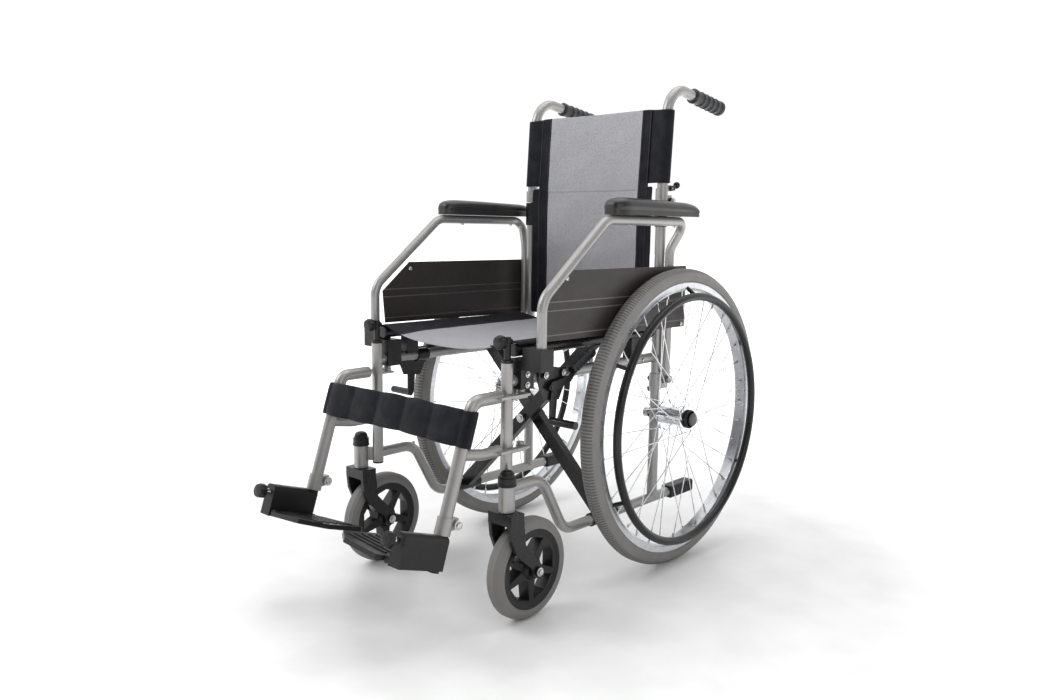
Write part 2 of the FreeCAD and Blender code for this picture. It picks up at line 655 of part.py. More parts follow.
def make_wheel_lock():
    """The lock's bracket on the upper rail, its hand lever and the arm that carries the tyre bar."""
    rail_z = size("upper_rail_height")
    plate_x = frame_x + rail_radius + 1.5
    brake_y = -size("brake_front")
    brake_z = size("brake_height")
    lever_pivot = point(0, brake_y - 12, brake_z + 8)
    outline = [
        (plate_x, brake_y - 38, rail_z + 14), (plate_x, brake_y + 34, rail_z + 14),
        (plate_x, brake_y + 34, rail_z - 12), (plate_x, brake_y + 16, brake_z - 18),
        (plate_x, brake_y - 26, brake_z - 14), (plate_x, brake_y - 40, rail_z - 8),
    ]
    plate = slab(outline, BRAKE_PLATE, X_AXIS)
    clamp_y = brake_y + 8
    clamp = rod(point(frame_x, clamp_y - 14, rail_z), point(frame_x, clamp_y + 14, rail_z), rail_radius + 3)
    rail = rod(point(frame_x, clamp_y - 40, rail_z), point(frame_x, clamp_y + 40, rail_z), rail_radius)
    solids = [plate, clamp]
    for bolt_y, bolt_z in ((brake_y - 24, rail_z + 4), (brake_y + 24, rail_z + 4)):
        solids.append(rod(point(plate_x, bolt_y, bolt_z), point(plate_x + 7, bolt_y, bolt_z), 4))
    arm_x0 = plate_x + BRAKE_LAYER
    lever_x0 = arm_x0 + BRAKE_LAYER
    pins = [
        rod(point(plate_x, brake_y, brake_z), point(arm_x0 + 4, brake_y, brake_z), 3),
        rod(point(plate_x, lever_pivot.y, lever_pivot.z), point(lever_x0 + 4, lever_pivot.y, lever_pivot.z), 3),
    ]
    bracket = fused(solids).cut(rail)
    left_parts.append(finished_shape("brake_bracket", fused([bracket, *pins])))

    bar = point(0, brake_y - 5, size("shoe_height"))
    hole = rod(point(arm_x0 - 5, brake_y, brake_z), point(arm_x0 + 9, brake_y, brake_z), 3 + running)
    strip = slab([
        (arm_x0, brake_y - 8, brake_z + 3), (arm_x0, brake_y + 1, brake_z + 7), (arm_x0, brake_y + 8, brake_z - 3),
        (arm_x0, bar.y + 8, bar.z), (arm_x0, bar.y - 7, bar.z - 3), (arm_x0, brake_y - 12, brake_z - 18),
    ], BRAKE_PLATE, X_AXIS)
    shoe = rod(point(arm_x0, bar.y, bar.z), point(wheel_x + size("tyre_width") / 2, bar.y, bar.z), 7)
    left_parts.append(finished_shape("brake_arm", fused([strip, shoe]).cut(hole)))

    rise = math.radians(25)
    tip = lever_pivot + point(0, math.cos(rise), math.sin(rise)) * size("lever_length")
    knee = lever_pivot + point(0, 48, 8)
    middle_x = lever_x0 + BRAKE_PLATE / 2
    strip = slab([
        (lever_x0, lever_pivot.y - 9, lever_pivot.z - 1), (lever_x0, lever_pivot.y, lever_pivot.z + 9),
        (lever_x0, knee.y, knee.z + 8), (lever_x0, tip.y - 40, tip.z - 12),
        (lever_x0, tip.y - 36, tip.z - 22), (lever_x0, knee.y + 4, knee.z - 3),
        (lever_x0, lever_pivot.y + 4, lever_pivot.z - 9),
    ], BRAKE_PLATE, X_AXIS)
    grip_start = point(middle_x, tip.y - 56, tip.z - 28)
    grip = rod(grip_start, point(middle_x, tip.y, tip.z), 7)
    hole = rod(point(lever_x0 - 3, lever_pivot.y, lever_pivot.z), point(lever_x0 + 6, lever_pivot.y, lever_pivot.z),
               3 + running)
    left_parts.append(finished_shape("brake_lever", fused([strip, grip]).cut(hole)))


# ---------------------------------------------------------------- back
def make_back_hinge():
    """The clamp on top of the upright, with two ears and the pin that the cane turns on."""
    pin_height = size("hinge_height")
    setback = size("hinge_setback")
    top = size("upright_top")
    outer = rod(point(frame_x, 0, top - 24), point(frame_x, 0, pin_height - 1), tube_radius + 2.5)
    bore = rod(point(frame_x, 0, top - 30), point(frame_x, 0, top), tube_radius)
    ears = []
    for side in (-1, 1):
        near = frame_x + (8 if side > 0 else -12)
        ears.append(block((near, 0, pin_height - 22), (near + 4, setback + size("hinge_ear_radius"), pin_height - 1)))
        ears.append(rod(point(near, setback, pin_height), point(near + 4, setback, pin_height), size("hinge_ear_radius")))
    pin = rod(point(frame_x - 14, setback, pin_height), point(frame_x + 14, setback, pin_height), 3)
    left_parts.append(finished_shape("back_hinge", fused([outer.cut(bore), *ears, pin])))


def cane_run(side):
    """The middle line of a folding cane, from its ferrule to the end of the push handle."""
    height = size("handle_height")
    return [
        point(side * frame_x, 0, size("hinge_height") + 2), point(side * frame_x, size("back_lean"), height),
        point(side * frame_x, size("handle_length"), height - size("handle_drop")),
    ]


def make_back_cane():
    """The folding upper part of the back post, bent rearwards into the push handle."""
    pin_height = size("hinge_height")
    setback = size("hinge_setback")
    run = cane_run(1)
    outer = bent_rod(run, tube_radius, size("handle_bend"))
    bore_run = [run[0] + Z_AXIS * 20, run[1], run[2] - Y_AXIS * 3]
    inner = bent_rod(bore_run, tube_bore, size("handle_bend"))
    block_low = point(frame_x, 0, pin_height + 0.5)
    ferrule = rod(block_low, block_low + Z_AXIS * 24, tube_radius + size("ferrule_wall"))
    lug = block((frame_x - 7.5, 0, pin_height + 0.5), (frame_x + 7.5, setback + 5, pin_height + 12))
    knuckle = rod(point(frame_x - 7.5, setback, pin_height), point(frame_x + 7.5, setback, pin_height), 6)
    pin_hole = rod(point(frame_x - 9, setback, pin_height), point(frame_x + 9, setback, pin_height), 3 + running)
    below = rod(block_low - Z_AXIS * 10, block_low, tube_radius + size("ferrule_wall"))
    lever_pivot = point(frame_x, setback + 7, pin_height + 26)
    lever_lug = block((frame_x - 3, 8, lever_pivot.z - 6), (frame_x + 3, lever_pivot.y, lever_pivot.z + 6))
    lever_eye = rod(lever_pivot - X_AXIS * 3, lever_pivot + X_AXIS * 3, 6)
    lever_pin = rod(lever_pivot - X_AXIS * 8, lever_pivot + X_AXIS * 8, 2)
    shape = fused([outer, ferrule, lug, knuckle.cut(below), lever_lug, lever_eye]).cut(inner).cut(pin_hole)
    shape = fused([shape, lever_pin])
    left_parts.append(finished_shape("back_cane", shape))


def make_handle_grip():
    """The push-handle grip: a turned sleeve with finger ridges, slanted with the handle."""
    slope = math.degrees(math.atan2(size("handle_drop"), size("handle_length") - size("back_lean")))
    body = new_body(
        "handle_grip",
        ("Sizes.frame_half_width", "Sizes.handle_length", "Sizes.handle_height - Sizes.handle_drop"),
        FreeCAD.Rotation(X_AXIS, -slope),
    )
    sketch = new_sketch(body, "YZ_Plane")
    bore = "Sizes.tube_radius"
    radius = "Sizes.grip_radius"
    corners = [("1", bore), ("1", "0"), ("5", "0"), ("5", f"{radius} - 4"), ("2", radius)]
    for ridge in range(5):
        start = f"0 - Sizes.grip_length * {ridge * 0.17 + 0.04:.2f}"
        corners += [(start, radius), (f"{start} - 3", f"{radius} - 2"), (f"{start} - 9", f"{radius} - 2")]
    corners += [("4 - Sizes.grip_length", radius), ("0 - Sizes.grip_length", f"{radius} - 2.5")]
    corners += [("0 - Sizes.grip_length", bore)]
    polygon(sketch, corners)
    revolve(body, sketch, "Y_Axis")
    left_parts.append(body)


def make_back_lever():
    """The release lever behind the hinge."""
    pin_height = size("hinge_height")
    setback = size("hinge_setback")
    pivot = point(frame_x, setback + 7, pin_height + 26)
    cheeks = rod(pivot - X_AXIS * 7, pivot + X_AXIS * 7, 5.5)
    bridge = block((frame_x - 7, pivot.y + 1, pivot.z - 4), (frame_x + 7, pivot.y + 11, pivot.z + 5))
    stalk = rod(pivot + point(0, 9, 1), pivot + point(0, 22, 6), 3.2)
    knob = Part.makeSphere(7, pivot + point(0, 26, 7))
    slot = block((frame_x - 3.3, pivot.y - 8, pivot.z - 8), (frame_x + 3.3, pivot.y + 7, pivot.z + 8))
    pin_hole = rod(pivot - X_AXIS * 9, pivot + X_AXIS * 9, 2 + running)
    shape = fused([cheeks, bridge]).cut(slot).cut(pin_hole)
    left_parts.append(finished_shape("back_lever", fused([shape, stalk, knob])))


# ---------------------------------------------------------------- armrest
def make_arm_tube():
    """One bent tube: front leg, slanted front, level top and the rear post that steps in behind the wheel."""
    radius = size("arm_tube_radius")
    top = size("arm_top")
    front = -size("arm_front")
    pivot = point(arm_post_x, size("arm_pivot_setback"), size("arm_pivot_height"))
    post_y_local = pivot.y - 11
    foot = pivot.z + 14
    run = [
        point(arm_x, front, size("arm_foot") + 0.5), point(arm_x, front, size("arm_bend_height")),
        point(arm_x, -size("arm_corner"), top), point(arm_x, pivot.y + 4, top),
        point(arm_post_x, post_y_local, top - 56), point(arm_post_x, post_y_local, foot),
    ]
    outer = bent_rod(run, radius, 42)
    inner_run = [run[0] + Z_AXIS * 12, *run[1:5], run[5] + Z_AXIS * 26]
    inner = bent_rod(inner_run, radius - size("tube_wall"), 42)
    lug_x = arm_post_x - radius + 1
    lug = block((lug_x, pivot.y - 10, pivot.z), (lug_x + 5, pivot.y + 10, foot + 4))
    eye = rod(point(lug_x, pivot.y, pivot.z), point(lug_x + 5, pivot.y, pivot.z), 10)
    pin_hole = rod(point(lug_x - 5, pivot.y, pivot.z), point(lug_x + 9, pivot.y, pivot.z), 4 + running)
    left_parts.append(finished_shape("arm_tube", fused([outer, lug, eye]).cut(inner).cut(pin_hole)))


def make_arm_pad():
    """The padded armrest: a rounded block on a base plate."""
    base_z = "Sizes.arm_top + Sizes.arm_tube_radius + 0.6"
    body = new_body("arm_pad", ("Sizes.frame_half_width + Sizes.arm_offset", "0", base_z))
    sketch = new_sketch(body, "XY_Plane")
    half = "Sizes.pad_width / 2"
    rear = "30"
    front = "30 - Sizes.pad_length"
    polygon(sketch, [
        (f"0 - {half}", rear), (f"0 - {half}", f"{front} + 12"), (f"14 - {half}", front),
        (f"{half} - 14", front), (half, f"{front} + 12"), (half, rear),
    ])
    pad(body, sketch, "Sizes.pad_height")
    top = size("pad_height")
    fillet(body, lambda edge: edge.BoundBox.ZMin > top - 0.1, 11)
    left_parts.append(body)


def make_side_panel():
    """The skirt guard: a thin moulded sheet with level ribs, cut back along the slanted arm tube."""
    body = new_body("side_panel", ("Sizes.frame_half_width + Sizes.panel_offset", "0", "0"))
    sketch = new_sketch(body, "YZ_Plane")
    polygon(sketch, [
        ("46", "Sizes.panel_bottom"),
        ("46", "Sizes.panel_top"),
        ("15 - Sizes.arm_corner * 1.45", "Sizes.panel_top"),
        ("8 - Sizes.arm_front", "Sizes.arm_bend_height - 8"),
        ("14 - Sizes.arm_front", "Sizes.panel_bottom + 4"),
    ])
    pad(body, sketch, "Sizes.panel_thickness")
    grooves = new_sketch(body, "YZ_Plane", "grooves")
    for share in (0.1, 0.44, 0.56):
        low = f"Sizes.panel_bottom + (Sizes.panel_top - Sizes.panel_bottom) * {share}"
        polygon(grooves, [
            ("50", low), ("50", f"{low} + 2.4"), ("24 - Sizes.arm_front", f"{low} + 2.4"),
            ("24 - Sizes.arm_front", low),
        ])
    before = body.Tip.Shape.Volume
    cut = body.newObject("PartDesign::Pocket", "groove_cut")
    cut.Profile = grooves
    cut.Length = 1.0
    cut.Reversed = True
    document.recompute()
    if cut.Shape.Volume >= before:
        raise RuntimeError("the side panel's grooves cut nothing")
    left_parts.append(body)


# ---------------------------------------------------------------- legrest
tilt = math.radians(size("leg_tilt"))
leg_down = point(0, -math.sin(tilt), -math.cos(tilt))
leg_front = point(0, -math.cos(tilt), math.sin(tilt))
leg_x = frame_x + 2
leg_end = point(leg_x, -size("leg_end_forward"), size("leg_end_height"))
inner_leg_end = leg_end + leg_down * size("inner_leg_length")
plate_hinge = point(frame_x - 17, inner_leg_end.y + 8, inner_leg_end.z + 10)


def make_hanger():
    """The swing-away hanger: two arms from the pins behind the front post, and the slanted leg tube."""
    radius = size("hanger_arm_radius")
    tube_start = post_y - tube_radius - 10
    upper = size("upper_arm_height")
    lower = size("lower_arm_height")
    leg_top = leg_end - leg_down * ((upper - leg_end.z) / math.cos(tilt))
    main = bent_rod([point(leg_x, tube_start, upper), leg_top, leg_end], size("leg_tube_radius"), 20)
    lower_meet = leg_end - leg_down * ((lower - leg_end.z + 8) / math.cos(tilt))
    strut = bent_rod([point(leg_x, tube_start, lower), point(leg_x, tube_start - 40, lower), lower_meet], radius, 40)
    solids = [main, strut]
    for arm_z in (upper, lower):
        outer_x = frame_x + tube_radius + 11
        inner_x = frame_x + tube_radius + 2
        solids.append(block((leg_x - 9, tube_start - 14, arm_z - 2), (outer_x, tube_start + 5, arm_z + 2)))
        solids.append(block((inner_x, tube_start - 10, arm_z - 2), (outer_x, pin_y + 7, arm_z + 2)))
        solids.append(block((pin_x, pin_y - 8, arm_z - 2), (outer_x, pin_y + 7, arm_z + 2)))
        solids.append(rod(point(pin_x, pin_y, arm_z - 2), point(pin_x, pin_y, arm_z + 2), 8))
    collar_start = leg_end - leg_down * 26
    solids.append(rod(collar_start, leg_end + leg_down * 2, size("leg_tube_radius") + 2.5))
    bolt_centre = leg_end - leg_down * 12
    solids.append(block((leg_x - 7, bolt_centre.y + 6, bolt_centre.z - 9),
                        (leg_x + 7, bolt_centre.y + 26, bolt_centre.z + 9)))
    solids.append(rod(point(leg_x - 13, bolt_centre.y + 19, bolt_centre.z),
                      point(leg_x + 13, bolt_centre.y + 19, bolt_centre.z), 4))
    bore_radius = size("leg_tube_radius") - size("tube_wall")
    bore = rod(leg_end - leg_down * 150, leg_end + leg_down * 4, bore_radius)
    holes = [rod(point(pin_x, pin_y, z - 4), point(pin_x, pin_y, z + 4), 4 + running) for z in (upper, lower)]
    shape = fused(solids).cut(bore).cut(Part.makeCompound(holes))
    left_parts.append(finished_shape("hanger", shape))


def make_footrest_tube():
    """The inner leg tube with the footplate's hinge housing, hinge pin and lock knob."""
    radius = size("leg_tube_radius") - size("tube_wall") - size("sliding_clearance")
    outer = rod(leg_end - leg_down * 90, inner_leg_end, radius)
    bore = rod(leg_end - leg_down * 91, inner_leg_end - leg_down * 20, radius - size("tube_wall"))
    length = size("plate_length") - 18
    up = point(0, math.sin(tilt), math.cos(tilt))
    rear = point(0, plate_hinge.y, plate_hinge.z)
    corners = [rear + up * -7, rear + leg_front * length + up * -7, rear + leg_front * length + up * 48, rear + up * 48]
    housing_low = frame_x - 8
    housing = slab([(housing_low, corner.y, corner.z) for corner in corners], 26, X_AXIS)
    along = [edge for edge in housing.Edges if abs(edge.tangentAt(0).dot(leg_front)) > 0.99]
    highest = sorted(along, key=lambda edge: edge.CenterOfMass.z)[-2:]
    housing = housing.makeFillet(9, highest)
    leg_hole = rod(leg_end - leg_down * 20, inner_leg_end + leg_down * 40, radius)
    pin_start = plate_hinge + leg_front * 6
    pin = rod(pin_start, plate_hinge + leg_front * (length - 6), 3)
    ears = []
    for place in (3, length - 9):
        base = plate_hinge + leg_front * place
        ear = rod(base, base + leg_front * 6, 6)
        foot = slab([(plate_hinge.x, (rear + leg_front * shift + up * level).y,
                      (rear + leg_front * shift + up * level).z)
                     for shift, level in ((place, -5), (place + 6, -5), (place + 6, 5), (place, 5))],
                    housing_low - plate_hinge.x + 1, X_AXIS)
        ears += [ear, foot]
    knob_centre = rear + point(leg_x, 0, 0) + up * 34
    stem = rod(knob_centre + leg_front * (length - 4), knob_centre + leg_front * (length + 18), 4)
    knob = rod(knob_centre + leg_front * (length + 14), knob_centre + leg_front * (length + 28), 11)
    body = fused([outer.cut(bore), housing.cut(leg_hole), stem, knob, pin, *ears])
    left_parts.append(finished_shape("footrest_tube", body))


def make_footplate():
    """The flip-up footplate: a ribbed tray on a barrel round the hinge pin."""
    rotation = FreeCAD.Rotation(X_AXIS, -size("leg_tilt")).multiply(FreeCAD.Rotation(Y_AXIS, size("plate_roll")))
    hinge = [f"{value:.6f}" for value in plate_hinge]
    body = new_body("footplate", hinge, rotation)
    sketch = new_sketch(body, "XY_Plane")
    rear = "8"
    front = "8 - Sizes.plate_length"
    inner = "0 - Sizes.plate_width"
    polygon(sketch, [
        ("-7", "0"), ("-7", "22 - Sizes.plate_length"), ("-12", front), (f"{inner} + 44", front),
        (inner, f"{front} + 30"), (inner, "-2"), (f"{inner} + 10", rear), ("-12", rear),
    ])
    pad(body, sketch, "Sizes.plate_thickness", midplane=True)
    barrel = new_sketch(body, "XZ_Plane", "barrel")
    circle(barrel, "0", "0", "5.6")
    barrel.AttachmentOffset = FreeCAD.Placement(FreeCAD.Vector(0, 0, 14), FreeCAD.Rotation())
    pad(body, barrel, "Sizes.plate_length - 46")
    tie = new_sketch(body, "XY_Plane", "tie")
    polygon(tie, [
        ("0", "-14"), ("-14", "-14"), ("-14", "28 - Sizes.plate_length"), ("0", "28 - Sizes.plate_length"),
    ])
    pad(body, tie, "Sizes.plate_thickness - 1", midplane=True)
    ribs = new_sketch(body, "XY_Plane", "ribs")
    for number in range(5):
        low = f"0 - 12 - (Sizes.plate_length - 34) * {number / 5:.2f}"
        polygon(ribs, [(f"{inner} + 16", low), ("-20", low), ("-20", f"{low} - 5"), (f"{inner} + 16", f"{low} - 5")])
    pad(body, ribs, "Sizes.plate_thickness / 2 + 2")
    end_relief = new_sketch(body, "XZ_Plane", "pin_hole")
    circle(end_relief, "0", "0", "3 + Sizes.running_clearance")
    hole = body.newObject("PartDesign::Pocket", "pin_hole_cut")
    hole.Profile = end_relief
    hole.Type = "ThroughAll"
    hole.Midplane = True
    document.recompute()
    left_parts.append(body)


def make_legrest_lock():
    """The turning pin in the top of the front post, with its forward knob."""
    top = size("post_top")
    plug_radius = tube_bore - running
    centre = point(frame_x, post_y, 0)
    solids = [
        rod(centre + Z_AXIS * (top - 24), centre + Z_AXIS * (top + 1), plug_radius),
        rod(centre + Z_AXIS * (top + 0.4), centre + Z_AXIS * (top + 5), tube_radius - 0.5),
        rod(centre + Z_AXIS * top, centre + Z_AXIS * (top + 44), 6),
        rod(centre + point(0, 9, top + 36), centre + point(0, -14, top + 36), 5),
        rod(centre + point(0, -12, top + 36), centre + point(0, -24, top + 36), 10.5),
    ]
    left_parts.append(finished_shape("legrest_lock", fused(solids)))


# ---------------------------------------------------------------- cross braces and fabric
seat_z = size("seat_tube_height")
low_z = size("lower_rail_height")
brace_middle = (seat_z + low_z) / 2
seat_front_y = post_y + size("seat_front_gap")
seat_rear_y = -size("seat_rear_gap")


def make_brace(name, foot_side, place_y):
    """One cross brace: a sleeve that turns on a lower rail, a bar, and the seat tube on the other side."""
    foot = point(foot_side * frame_x, place_y, low_z)
    head = point(-foot_side * frame_x, place_y, seat_z)
    length = size("brace_sleeve_length")
    wall = size("brace_sleeve_wall")
    sleeve = rod(foot - Y_AXIS * (length / 2), foot + Y_AXIS * (length / 2), rail_radius + running + wall)
    sleeve_bore = rod(foot - Y_AXIS * length, foot + Y_AXIS * length, rail_radius + running)
    along = (head - foot).normalize()
    width = size("brace_bar_width")
    depth = size("brace_bar_depth")
    side = along.cross(Y_AXIS) * (width / 2)
    start = foot + along * (rail_radius + wall / 2)
    end = head
    lift = point(0, -depth / 2, 0)
    corners = [start + side + lift, end + side + lift, end - side + lift, start - side + lift]
    bar = slab([tuple(corner) for corner in corners], depth, Y_AXIS)
    wall_of_bar = 2
    side_in = along.cross(Y_AXIS) * (width / 2 - wall_of_bar)
    lift_in = point(0, -depth / 2 + wall_of_bar, 0)
    start_in = foot + along * (rail_radius + wall + 9.5)
    end_in = head - along * 14
    corners = [start_in + side_in + lift_in, end_in + side_in + lift_in, end_in - side_in + lift_in,
               start_in - side_in + lift_in]
    hollow = slab([tuple(corner) for corner in corners], depth - 2 * wall_of_bar, Y_AXIS)
    seat_radius = size("seat_tube_radius")
    seat_tube = rod(point(head.x, seat_front_y, seat_z), point(head.x, seat_rear_y, seat_z), seat_radius)
    seat_bore = rod(point(head.x, seat_front_y + 3, seat_z), point(head.x, seat_rear_y - 3, seat_z),
                    seat_radius - size("tube_wall"))
    bolt_radius = size("brace_bolt_radius") + running
    bolt_hole = rod(point(0, place_y - 30, brace_middle), point(0, place_y + 30, brace_middle), bolt_radius)
    boss = rod(point(0, place_y - depth / 2, brace_middle), point(0, place_y + depth / 2, brace_middle), 11)
    shape = fused([sleeve, bar, seat_tube, boss]).cut(sleeve_bore).cut(seat_bore).cut(hollow.cut(boss)).cut(bolt_hole)
    centre_parts.append(finished_shape(name, shape))


def make_brace_bolt():
    """The centre bolt of the cross, with its spacer between the bars."""
    front_y = -size("brace_front")
    rear_y = front_y + size("brace_spacing")
    half = size("brace_bar_depth") / 2
    centre = point(0, 0, brace_middle)
    solids = [
        rod(centre + Y_AXIS * (front_y - half - 9), centre + Y_AXIS * (rear_y + half + 9), size("brace_bolt_radius")),
        rod(centre + Y_AXIS * (front_y - half - 7), centre + Y_AXIS * (front_y - half - 0.4), 9),
        rod(centre + Y_AXIS * (rear_y + half + 0.4), centre + Y_AXIS * (rear_y + half + 7), 9),
        rod(centre + Y_AXIS * (front_y + half + 0.4), centre + Y_AXIS * (rear_y - half - 0.4), 10),
    ]
    centre_parts.append(finished_shape("brace_bolt", fused(solids)))


def make_seat_sling():
    """The seat sling, hung between the seat tubes with its natural sag."""
    edge_x = frame_x + size("seat_tube_radius")
    low = seat_z + size("seat_tube_radius") + size("soft_clearance")
    thickness = size("sling_thickness")
    sag = size("seat_sag")
    flat = edge_x - 26
    y = seat_front_y - 2
    lower = Part.Arc(point(-flat, y, low), point(0, y, low - sag), point(flat, y, low)).toShape()
    upper = Part.Arc(point(flat, y, low + thickness), point(0, y, low + thickness - sag),
                     point(-flat, y, low + thickness)).toShape()
    outline = [lower]
    for start, end in (((flat, low), (edge_x, low)), ((edge_x, low), (edge_x, low + thickness)),
                       ((edge_x, low + thickness), (flat, low + thickness))):
        outline.append(Part.LineSegment(point(start[0], y, start[1]), point(end[0], y, end[1])).toShape())
    outline.append(upper)
    for start, end in (((-flat, low + thickness), (-edge_x, low + thickness)),
                       ((-edge_x, low + thickness), (-edge_x, low)), ((-edge_x, low), (-flat, low))):
        outline.append(Part.LineSegment(point(start[0], y, start[1]), point(end[0], y, end[1])).toShape())
    face = Part.Face(Part.Wire(Part.__sortEdges__(outline)))
    depth = seat_rear_y - y
    centre_parts.append(finished_shape("seat_sling", face.extrude(Y_AXIS * depth)))


def make_back_sling():
    """The back sling: one flat panel, with sleeves round the folding canes above the hinges."""
    gap = size("soft_clearance")
    thickness = size("sling_thickness")
    bore = tube_radius + gap
    top = size("back_top")
    sleeve_low = size("sleeve_bottom")
    front = -bore - thickness / 2
    pin_height = size("hinge_height")
    lean = size("back_lean") / (size("handle_height") - pin_height)
    near = front - 1
    outline = [(near, size("back_bottom")), (near + thickness, size("back_bottom")), (near + thickness, pin_height),
               (near + thickness + lean * (top - pin_height), top), (near + lean * (top - pin_height), top),
               (near, pin_height)]
    half = frame_x - 14
    solids = [slab([(-half, y, z) for y, z in outline], 2 * half, X_AXIS)]

    def on_cane(side, height):
        return point(side * frame_x, lean * (height - pin_height), height)

    bores = []
    for side in (-1, 1):
        solids.append(rod(on_cane(side, sleeve_low), on_cane(side, top), bore + 2.6))
        bores.append(bent_rod(cane_run(side), bore, size("handle_bend")))
        bores.append(rod(point(side * frame_x, 0, size("back_bottom") - 5), point(side * frame_x, 0, pin_height), bore))
    centre_parts.append(finished_shape("back_sling", fused(solids).cut(Part.makeCompound(bores))))


def make_calf_strap():
    """The calf strap: a band round both leg tubes, open for a hand's width at the back."""
    gap = size("soft_clearance")
    thickness = size("strap_thickness")
    height = size("strap_height")
    radius = size("leg_tube_radius") + gap
    middle = leg_end - leg_down * ((352 - leg_end.z) / math.cos(tilt))
    low = point(0, middle.y, middle.z) + leg_down * (height / 2)
    up = leg_down * -1
    ends = [(-leg_x, radius + 3), (leg_x, radius + 3)]
    band = [rod(point(x, low.y, low.z), point(x, low.y, low.z) + up * height, wide) for x, wide in ends]
    front = leg_front

    def bar(inner, outer, half_span):
        corners = []
        for x, distance in ((-half_span, inner), (half_span, inner), (half_span, outer), (-half_span, outer)):
            corner = point(x, low.y, low.z) + front * distance
            corners.append((corner.x, corner.y, corner.z))
        return slab(corners, height, up)

    front_pad = bar(radius, radius + thickness, leg_x)
    back_band = bar(-radius - 3, -radius, leg_x)
    holes = [rod(point(x, low.y, low.z) - up * 5, point(x, low.y, low.z) + up * (height + 5), radius)
             for x, wide in ends]
    inside = bar(-radius, radius, leg_x)
    gap_block = bar(-radius - 9, -radius + 1, 32)
    shape = fused([*band, front_pad, back_band]).cut(inside).cut(Part.makeCompound(holes)).cut(gap_block)
    centre_parts.append(finished_shape("calf_strap", shape))


make_side_frame()
make_arm_socket()
make_seat_saddles()
make_end_caps()
make_wheel_axle()
make_tyre()
make_rim()
make_spokes()
make_hub()
make_handrim()
make_fork()
make_caster_wheel()
make_caster_tyre()
make_wheel_lock()
make_back_hinge()
make_back_cane()
make_handle_grip()
make_back_lever()
make_arm_tube()
make_arm_pad()
make_side_panel()
make_hanger()
make_footrest_tube()
make_footplate()
make_legrest_lock()
make_brace("brace_a", -1, -size("brace_front"))
make_brace("brace_b", 1, -size("brace_front") + size("brace_spacing"))
make_brace_bolt()
make_seat_sling()
make_back_sling()
make_calf_strap()

handed_parts = []
for left in left_parts:
    name = left.Label
    left.Label = f"{name}_left"
    right = document.addObject("Part::Mirroring", f"{name}_mirror")
    right.Source = left
    right.Base = FreeCAD.Vector(0, 0, 0)
    right.Normal = X_AXIS
    right.Label = f"{name}_right"
    handed_parts += [left, right]

document.recompute()
for item in document.Objects:
    if "Invalid" in item.State or "Error" in item.State:
        raise RuntimeError(f"{item.Label} failed: {item.State}")
os.makedirs("parts", exist_ok=True)
for item in handed_parts + centre_parts:
    shape = item.Shape
    if shape.isNull() or not shape.isValid():
        raise RuntimeError(f"{item.Label} has no valid shape")
    shape.exportStep(os.path.join("parts", f"{item.Label}.step"))
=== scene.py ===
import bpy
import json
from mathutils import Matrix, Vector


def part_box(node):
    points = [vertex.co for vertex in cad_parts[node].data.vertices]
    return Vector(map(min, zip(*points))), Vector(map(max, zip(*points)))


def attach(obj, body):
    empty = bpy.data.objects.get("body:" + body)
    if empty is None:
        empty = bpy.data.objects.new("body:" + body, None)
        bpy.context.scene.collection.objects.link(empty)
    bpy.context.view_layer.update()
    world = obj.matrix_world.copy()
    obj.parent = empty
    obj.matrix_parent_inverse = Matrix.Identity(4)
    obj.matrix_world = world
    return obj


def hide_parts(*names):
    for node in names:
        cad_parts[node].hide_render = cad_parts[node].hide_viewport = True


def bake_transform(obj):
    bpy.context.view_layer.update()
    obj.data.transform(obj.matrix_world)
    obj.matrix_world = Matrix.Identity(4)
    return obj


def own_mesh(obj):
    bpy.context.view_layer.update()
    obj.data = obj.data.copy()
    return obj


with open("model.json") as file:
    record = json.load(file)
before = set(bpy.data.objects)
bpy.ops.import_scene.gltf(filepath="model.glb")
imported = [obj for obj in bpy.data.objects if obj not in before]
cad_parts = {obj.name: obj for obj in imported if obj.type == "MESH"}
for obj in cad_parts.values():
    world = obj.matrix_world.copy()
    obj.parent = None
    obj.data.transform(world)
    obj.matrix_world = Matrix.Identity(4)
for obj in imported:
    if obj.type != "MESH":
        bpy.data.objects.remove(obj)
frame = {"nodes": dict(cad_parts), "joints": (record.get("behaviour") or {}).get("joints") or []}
"""Dresses a folding wheelchair: finishes on its CAD nodes, fabric, pads, fasteners, and a plain studio stage."""
import json
import math

import bpy
from mathutils import Matrix, Vector

bl_info = {
    "name": "Folding Wheelchair",
    "version": (1, 0, 0),
    "blender": (4, 2, 0),
    "location": "View3D > Sidebar > Wheelchair",
    "description": "Fabric, pads, fasteners and finishes for a folding wheelchair",
    "category": "Add Mesh",
}

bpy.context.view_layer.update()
BOX = {name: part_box(name) for name in frame["nodes"]}
SIDES = (("left", 1), ("right", -1))
JOINTS = {joint["name"]: joint for joint in frame["joints"]}
POST_X = 0.175  # the frame's posts, from the middle
LEG_X = 0.177  # the leg tubes, from the middle
LEG_TILT = math.radians(18)
SEAT_TUBE_Z = 0.470
SEAT_WRAP = 0.0128  # from a seat tube's middle to the cloth over it
SLEEVE_REACH = 0.0135  # from a cane's middle to the cloth round it
BACK_LEAN = 0.014 / 0.228  # how far back a folding cane leans for its height


def place_of(joint):
    """A joint's position at rest."""
    return Vector(JOINTS[joint]["pos_m"])


